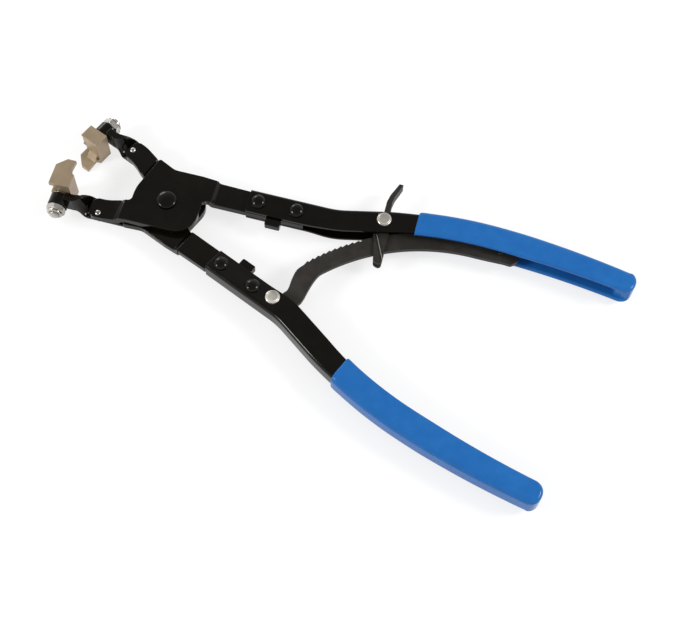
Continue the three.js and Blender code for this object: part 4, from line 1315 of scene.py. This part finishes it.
@dataclass
class MainPivot(SubAssembly):
    """The rivet that both halves turn on."""

    body: Body = Body.FRONT
    seat: float = 4.1
    head_radius: float = 5.0
    head_height: float = 2.3
    tail_radius: float = 4.7
    tail_height: float = 2.0
    shank_radius: float = 3.0

    def pieces(self) -> Iterator[Piece]:
        """Makes the rivet: a low dome, a shank and a flat tail.

        Yields:
            Each piece in the tool's frame.
        """
        rim = self.head_height / 4
        dome = arc(0, self.seat + rim, self.head_radius, self.head_height - rim,
                   steps(0, math.pi / 2, 20))
        dome[-1] = (0.0, self.seat + self.head_height)
        foot = -self.seat - self.tail_height
        profile = [(0.0, foot), (self.tail_radius - 0.7, foot),
                   (self.tail_radius - 0.2, foot + 0.18), (self.tail_radius, foot + 0.6),
                   (self.tail_radius, -self.seat), (self.shank_radius, -self.seat),
                   (self.shank_radius, self.seat), (self.head_radius - 0.06, self.seat)]
        rivet = Mould().turn(profile + dome, 80)
        rivet.place(Matrix.Translation((0, 0, MIDDLE_LEVEL)))
        yield Piece(rivet, "pivot_rivet_domed", 40, BLACK_PAINT, "main_pivot_rivet")


@dataclass
class RatchetBar(SubAssembly):
    """The toothed bar and the stop pin near its tail."""

    body: Body = Body.RATCHET
    rivet: Point = RATCHET_RIVET
    pawl: Point = PAWL_RIVET
    edge_radius: float = 105.0
    width: float = 9.2
    thick: float = 2.5
    step: float = 6.46
    bearing: float = math.radians(125.56)
    fore: float = 44.6
    aft: float = 62.05
    tail: float = 7.8
    rise: float = 1.6
    fade: float = 0.16
    tooth_pitch: float = 3.1
    tooth_depth: float = 0.8
    tooth_count: int = 11
    boss_radius: float = 5.3
    pin_radius: float = 1.3
    pin_half: float = 2.0
    edge_roll: float = 0.14

    def place(self) -> Vector:
        """Gives the bar's pivot in the tool."""
        at = Matrix.Rotation(-HALF_OPENING, 4, "Z") @ Vector((self.rivet[0], -self.rivet[1], 0))
        return at + Vector((0, 0, MIDDLE_LEVEL))

    def on_arc(self, radius: float, angle: float) -> Point:
        """Finds a point of the bar about its pivot.

        Args:
            radius: The distance from the arc's centre.
            angle: The direction from the arc's centre.

        Returns:
            The point.
        """
        pawl = Matrix.Rotation(HALF_OPENING, 4, "Z") @ Vector((*self.pawl, 0)) - self.place()
        back = self.edge_radius + self.step
        return (pawl.x - back * math.cos(self.bearing) + radius * math.cos(angle),
                pawl.y - back * math.sin(self.bearing) + radius * math.sin(angle))

    @staticmethod
    def smooth(points: Sequence[Point], count: int = 6) -> list[Point]:
        """Runs a soft curve through points, leaving out the first and the last.

        Args:
            points: The points, the first and last only giving direction.
            count: How many steps run between two points.

        Returns:
            The curve's points.
        """
        curve = []
        for k in range(1, len(points) - 2):
            p0, p1, p2, p3 = (Vector(p) for p in points[k - 1:k + 3])
            for t in steps(0, 1, count)[:-1]:
                at = 0.5 * (2 * p1 + (p2 - p0) * t + (2 * p0 - 5 * p1 + 4 * p2 - p3) * t * t
                            + (3 * p1 - p0 - 3 * p2 + p3) * t ** 3)
                curve.append((at.x, at.y))
        return curve + [tuple(points[-2])]

    @staticmethod
    def bend(start: Point, corner: Point, end: Point, count: int = 12) -> list[Point]:
        """Rounds a corner off and gives the curve's points after its start."""
        return [tuple(mix(mix(a, b, t), mix(b, c, t), t)
                      for a, b, c in zip(start, corner, end)) for t in steps(0, 1, count)[1:]]

    def outline(self) -> list[Point]:
        """Draws the bar: teeth, plain back, rounded tail, belly and curved neck.

        Returns:
            The outline's points about the bar's pivot.
        """
        r, start = self.edge_radius, self.bearing + self.fore / self.edge_radius
        stop = self.bearing - self.aft / r
        tooth = self.tooth_pitch / r
        points = []
        for k in range(self.tooth_count):
            points.append(self.on_arc(r - self.tooth_depth, start - k * tooth))
            points.append(self.on_arc(r - 0.2, start - (k + 0.62) * tooth))
            points.append(self.on_arc(r, start - (k + 0.74) * tooth))
            points.append(self.on_arc(r - 0.1, start - (k + 0.86) * tooth))
        points += [self.on_arc(r, a) for a in steps(start - self.tooth_count * tooth, stop, 40)]
        corner = self.on_arc(r, stop)
        # Each share is a part of the tail's length and of the bar's width.
        shares = [(0.68, -0.04), (0.81, -0.13), (0.85, -0.28), (0.78, -0.5), (0.62, -0.69),
                  (0.51, -0.765), (0.38, -0.785)]
        tail = [(corner[0] + x * self.tail, corner[1] + y * self.width) for x, y in shares]
        belly = []
        for a in steps(stop, start - 0.05, 44):
            swell = self.rise * clamp(1 - (a - stop) / self.fade) ** 2
            belly.append(self.on_arc(r - self.width + swell, a))
        points += self.smooth([points[-2], points[-1], *tail, belly[0], belly[1]])[1:-1]
        points += belly
        root = self.on_arc(r, start)
        # Each pair is a shift aside and a way up, as shares of the first tooth's height.
        right = [(y * root[0] + x * root[1], y * root[1])
                 for x, y in ((0.454, 0.36), (0.411, 0.12))]
        left = [(y * root[0] + x * root[1], y * root[1])
                for x, y in ((0.063, 0.24), (0.089, 0.36), (0.014, 0.62), (-0.017, 0.82))]
        knee = self.on_arc(r - self.width, start - 0.008)
        points += self.bend(belly[-1], knee, right[0])
        points += self.smooth([knee, *right, (0.0, -self.boss_radius / 2)])[1:]
        points += [(0.0, -self.boss_radius / 2)]
        points += self.smooth([(0.0, -self.boss_radius / 2), *left, points[0], points[4]])[:-1]
        return points

    def pieces(self) -> Iterator[Piece]:
        """Makes the bar with its boss, and the dished stop pin.

        Yields:
            Each piece in the tool's frame.
        """
        bar = Mould().prism(self.outline(), -self.thick / 2, self.thick / 2)
        bar.roll_edges(self.edge_roll, 60, 2)
        boss = self.thick / 2 - 0.05
        bar.add(Mould().rod(self.boss_radius, -boss, boss, 48))
        bar.place(Matrix.Translation(self.place()))
        yield Piece(bar, "ratchet_bar_edged", 30, DARK_STEEL, "ratchet_bar")
        low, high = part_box("ratchet_stop_pin")
        middle = (low + high) / 2 / MM
        r, h = self.pin_radius, self.pin_half
        profile = [(0.0, -h), (r - 0.25, -h), (r, -h + 0.25), (r, h - 0.25), (r - 0.25, h),
                   (r - 0.5, h - 0.05), (0.35, h - 0.3), (0.0, h - 0.32)]
        pin = Mould().turn(profile, 36).place(Matrix.Translation(middle))
        yield Piece(pin, "stop_pin_dished", 40, DARK_STEEL, "ratchet_stop_pin")


@dataclass
class Pawl(SubAssembly):
    """The pawl with its thumb lever, and the wire spring round its rivet."""

    body: Body = Body.PAWL
    x: float = PAWL_RIVET[0]
    y: float = PAWL_RIVET[1]
    gap: float = 3.2
    cheek: float = 0.9
    reach: float = 23.7
    tip_radius: float = 2.0
    wire: float = 0.3
    coil_radius: float = 2.75
    pitch: float = 1.1
    turns: int = 2
    coil_steps: int = 32
    hook: float = 2.8
    edge_roll: float = 0.2

    def wire_points(self) -> list[Vector]:
        """Follows the spring's wire from its hooked end to the end of its long leg.

        Returns:
            The points of its middle line in the half's frame.
        """
        lowest = -self.turns * self.pitch / 2
        left = self.x - self.coil_radius
        points = [Vector((left, self.y + self.hook, lowest))]
        for k in range(self.turns * self.coil_steps + 1):
            angle = math.pi + 2 * math.pi * k / self.coil_steps
            points.append(Vector((self.x + self.coil_radius * math.cos(angle),
                                  self.y + self.coil_radius * math.sin(angle),
                                  lowest + k * self.pitch / self.coil_steps)))
        level = self.gap / 2 + self.cheek + self.wire + 0.1
        points.append(Vector((left, self.y - self.coil_radius, -lowest)))
        points.append(Vector((left, self.y - 2 * self.coil_radius, level)))
        end = Vector((self.x + 2.1 * self.tip_radius, self.y - 0.87 * self.reach, level))
        bend = points[-1].lerp(end, 0.1)
        return points + [bend, bend.lerp(end, 0.5), end]

    def spring(self) -> Mould:
        """Makes the wire as one round tube along its points.

        Returns:
            The shape.
        """
        points = self.wire_points()
        rows = []
        for k, at in enumerate(points):
            ahead = points[min(k + 1, len(points) - 1)] - points[max(k - 1, 0)]
            ahead.normalize()
            across = Vector((0, 0, 1)).cross(ahead).normalized()
            up = ahead.cross(across)
            rows.append([at + (across * math.cos(a) + up * math.sin(a)) * self.wire
                         for a in steps(0, 2 * math.pi, 12)[:-1]])
        return Mould().sweep(rows).place(Half.FRONT.matrix())

    def pieces(self) -> Iterator[Piece]:
        """Makes the pawl with softened edges, and its spring.

        Yields:
            Each piece in the tool's frame.
        """
        lever = Mould().copy_node("pawl_lever").roll_edges(self.edge_roll, 30, 2)
        yield Piece(lever, "pawl_lever_edged", 50, DARK_STEEL, "pawl_lever")
        yield Piece(self.spring(), "pawl_wire_spring", 50, BRIGHT_STEEL, "pawl_spring")


@dataclass
class Studio:
    """The pale floor, the soft lamps and the camera at the photograph's angle."""

    elevation: float = math.radians(64.35)
    heading: float = math.radians(114.046)
    roll: float = math.radians(2.3237)
    focal_px: float = 1334.33
    width_px: float = 680.0
    distance: float = 667.165
    aside: float = 87.0
    above: float = -58.75
    offset: tuple[float, float, float] = (-0.7, 0.7, 11.3)
    sensor: float = 36.0
    floor_half: float = 3.0
    floor_drop: float = 0.0002
    lamp_aim: tuple[float, float, float] = (0.08, 0.0, 0.0)

    def camera(self) -> None:
        """Sets the camera where the photograph was taken from."""
        e, p = self.elevation, self.heading
        ahead = Vector((math.cos(e) * math.cos(p), math.cos(e) * math.sin(p), -math.sin(e)))
        right = ahead.cross(Vector((0, 0, 1))).normalized()
        up = right.cross(ahead)
        c, s = math.cos(self.roll), math.sin(self.roll)
        r, u = c * right + s * up, c * up - s * right
        centre = self.aside * r + self.above * u - self.distance * ahead + Vector(self.offset)
        data = bpy.data.cameras.new("photo_camera")
        data.sensor_width = self.sensor
        data.lens = self.focal_px * self.sensor / self.width_px
        data.clip_start, data.clip_end = 0.01, 20
        camera = put_in_scene("photo_camera", data)
        axes = Matrix((r, u, -ahead)).transposed().to_4x4()
        camera.matrix_world = Matrix.Translation(centre * MM) @ axes
        bpy.context.scene.camera = camera

    def floor(self) -> None:
        """Lays a pale floor just under the tool."""
        bm = bmesh.new()
        bmesh.ops.create_grid(bm, x_segments=1, y_segments=1, size=self.floor_half)
        bmesh.ops.translate(bm, verts=bm.verts, vec=(0, 0, CAD_BOX[0].z - self.floor_drop))
        mesh = bpy.data.meshes.new("floor")
        bm.to_mesh(mesh)
        bm.free()
        floor = put_in_scene("floor", mesh)
        material = bpy.data.materials.new("pale_floor")
        build = NodeBuilder.anew(material)
        matt = build.node("ShaderNodeBsdfDiffuse", {"Color": (0.8, 0.8, 0.8, 1)})
        grey = build.node("ShaderNodeBsdfDiffuse", {"Color": (0.34, 0.34, 0.34, 1)})
        glow = build.node("ShaderNodeEmission", {"Strength": 0.7})
        bright = build.node("ShaderNodeAddShader", {0: grey.outputs[0], 1: glow.outputs[0]})
        choose = build.node("ShaderNodeMixShader", {
            0: build.seen(), 1: matt.outputs[0], 2: bright.outputs[0]})
        build.node("ShaderNodeOutputMaterial", {"Surface": choose.outputs[0]})
        mesh.materials.append(material)

    def world(self) -> None:
        """Makes a soft surround: seen rays meet white, mirrored rays white that dims overhead."""
        world = bpy.data.worlds.new("studio")
        build = NodeBuilder.anew(world)
        way = build.node("ShaderNodeSeparateXYZ", {
            0: build.node("ShaderNodeTexCoord").outputs["Generated"]})
        dimmed = build.spread(way.outputs["Z"], 0.2, 0.88, 1.0, 0.36)
        camera = build.node("ShaderNodeLightPath").outputs["Is Camera Ray"]
        white = (1, 1, 1, 1)
        light = build.node("ShaderNodeBackground", {"Color": white, "Strength": 0.55})
        shown = build.node("ShaderNodeBackground", {
            "Color": white, "Strength": build.math("MAXIMUM", dimmed, camera)})
        choose = build.node("ShaderNodeMixShader", {
            0: build.seen(), 1: light.outputs[0], 2: shown.outputs[0]})
        build.node("ShaderNodeOutputWorld", {"Surface": choose.outputs[0]})
        bpy.context.scene.world = world

    def lamp(self, name: str, place: tuple[float, float, float], size: float,
             power: float) -> None:
        """Hangs one softbox that looks at the tool.

        Args:
            name: The lamp's name.
            place: Where it hangs, in metres.
            size: The length of its sides, in metres.
            power: Its power in watts.
        """
        data = bpy.data.lights.new(name, "AREA")
        data.shape = "SQUARE"
        data.size = size
        data.energy = power
        lamp = put_in_scene(name, data)
        aim = Vector(self.lamp_aim) - Vector(place)
        turn = aim.to_track_quat("-Z", "Y").to_matrix().to_4x4()
        lamp.matrix_world = Matrix.Translation(place) @ turn

    def build(self) -> None:
        """Sets up the whole studio."""
        self.camera()
        self.floor()
        self.world()
        self.lamp("left_softbox", (-0.70, -0.67, 0.62), 0.3, 6.8)
        self.lamp("right_softbox", (0.99, 0.35, 0.7), 0.3, 6.8)
        self.lamp("back_softbox", (-0.86, 0.72, 0.36), 0.4, 2.4)
        bpy.context.scene.view_settings.view_transform = "Standard"


def assemblies() -> list[SubAssembly]:
    """Lists the tool's sub-assemblies in the order in which they are put together.

    Returns:
        The sub-assemblies.
    """
    return [
        JawArm(Half.FRONT, Body.FRONT, "front_jaw_plate", "lower", side=-1, pin_x=31.5,
               pin_y=14.7, arm_shift=0.0, neck_shift=1.5, strip_start=17.9),
        JawArm(Half.REAR, Body.REAR, "rear_jaw_plate", "upper", side=1, pin_x=34.0,
               pin_y=12.6, arm_shift=1.2, neck_shift=0.2, strip_start=21.0),
        MainPivot(),
        Handle(Half.FRONT, Body.FRONT, "upper", (*PAWL_RIVET, "pawl_rivet"),
               slot=(103.9, 111.9, 20.4, 27.4, 3.3)),
        Handle(Half.REAR, Body.REAR, "lower", (*RATCHET_RIVET, "ratchet_rivet")),
        RatchetBar(),
        Pawl(),
        SwivelJaw(Half.FRONT, Body.LOWER_JAW, "lower"),
        SwivelJaw(Half.REAR, Body.UPPER_JAW, "upper"),
    ]


def main() -> None:
    """Builds the studio and every sub-assembly."""
    logging.basicConfig(level=logging.INFO, format="%(name)s: %(message)s")
    Studio().build()
    shop = PaintShop()
    for assembly in assemblies():
        log.info("building %s", type(assembly).__name__)
        assembly.build(shop)


if __name__ == "__main__":
    main()
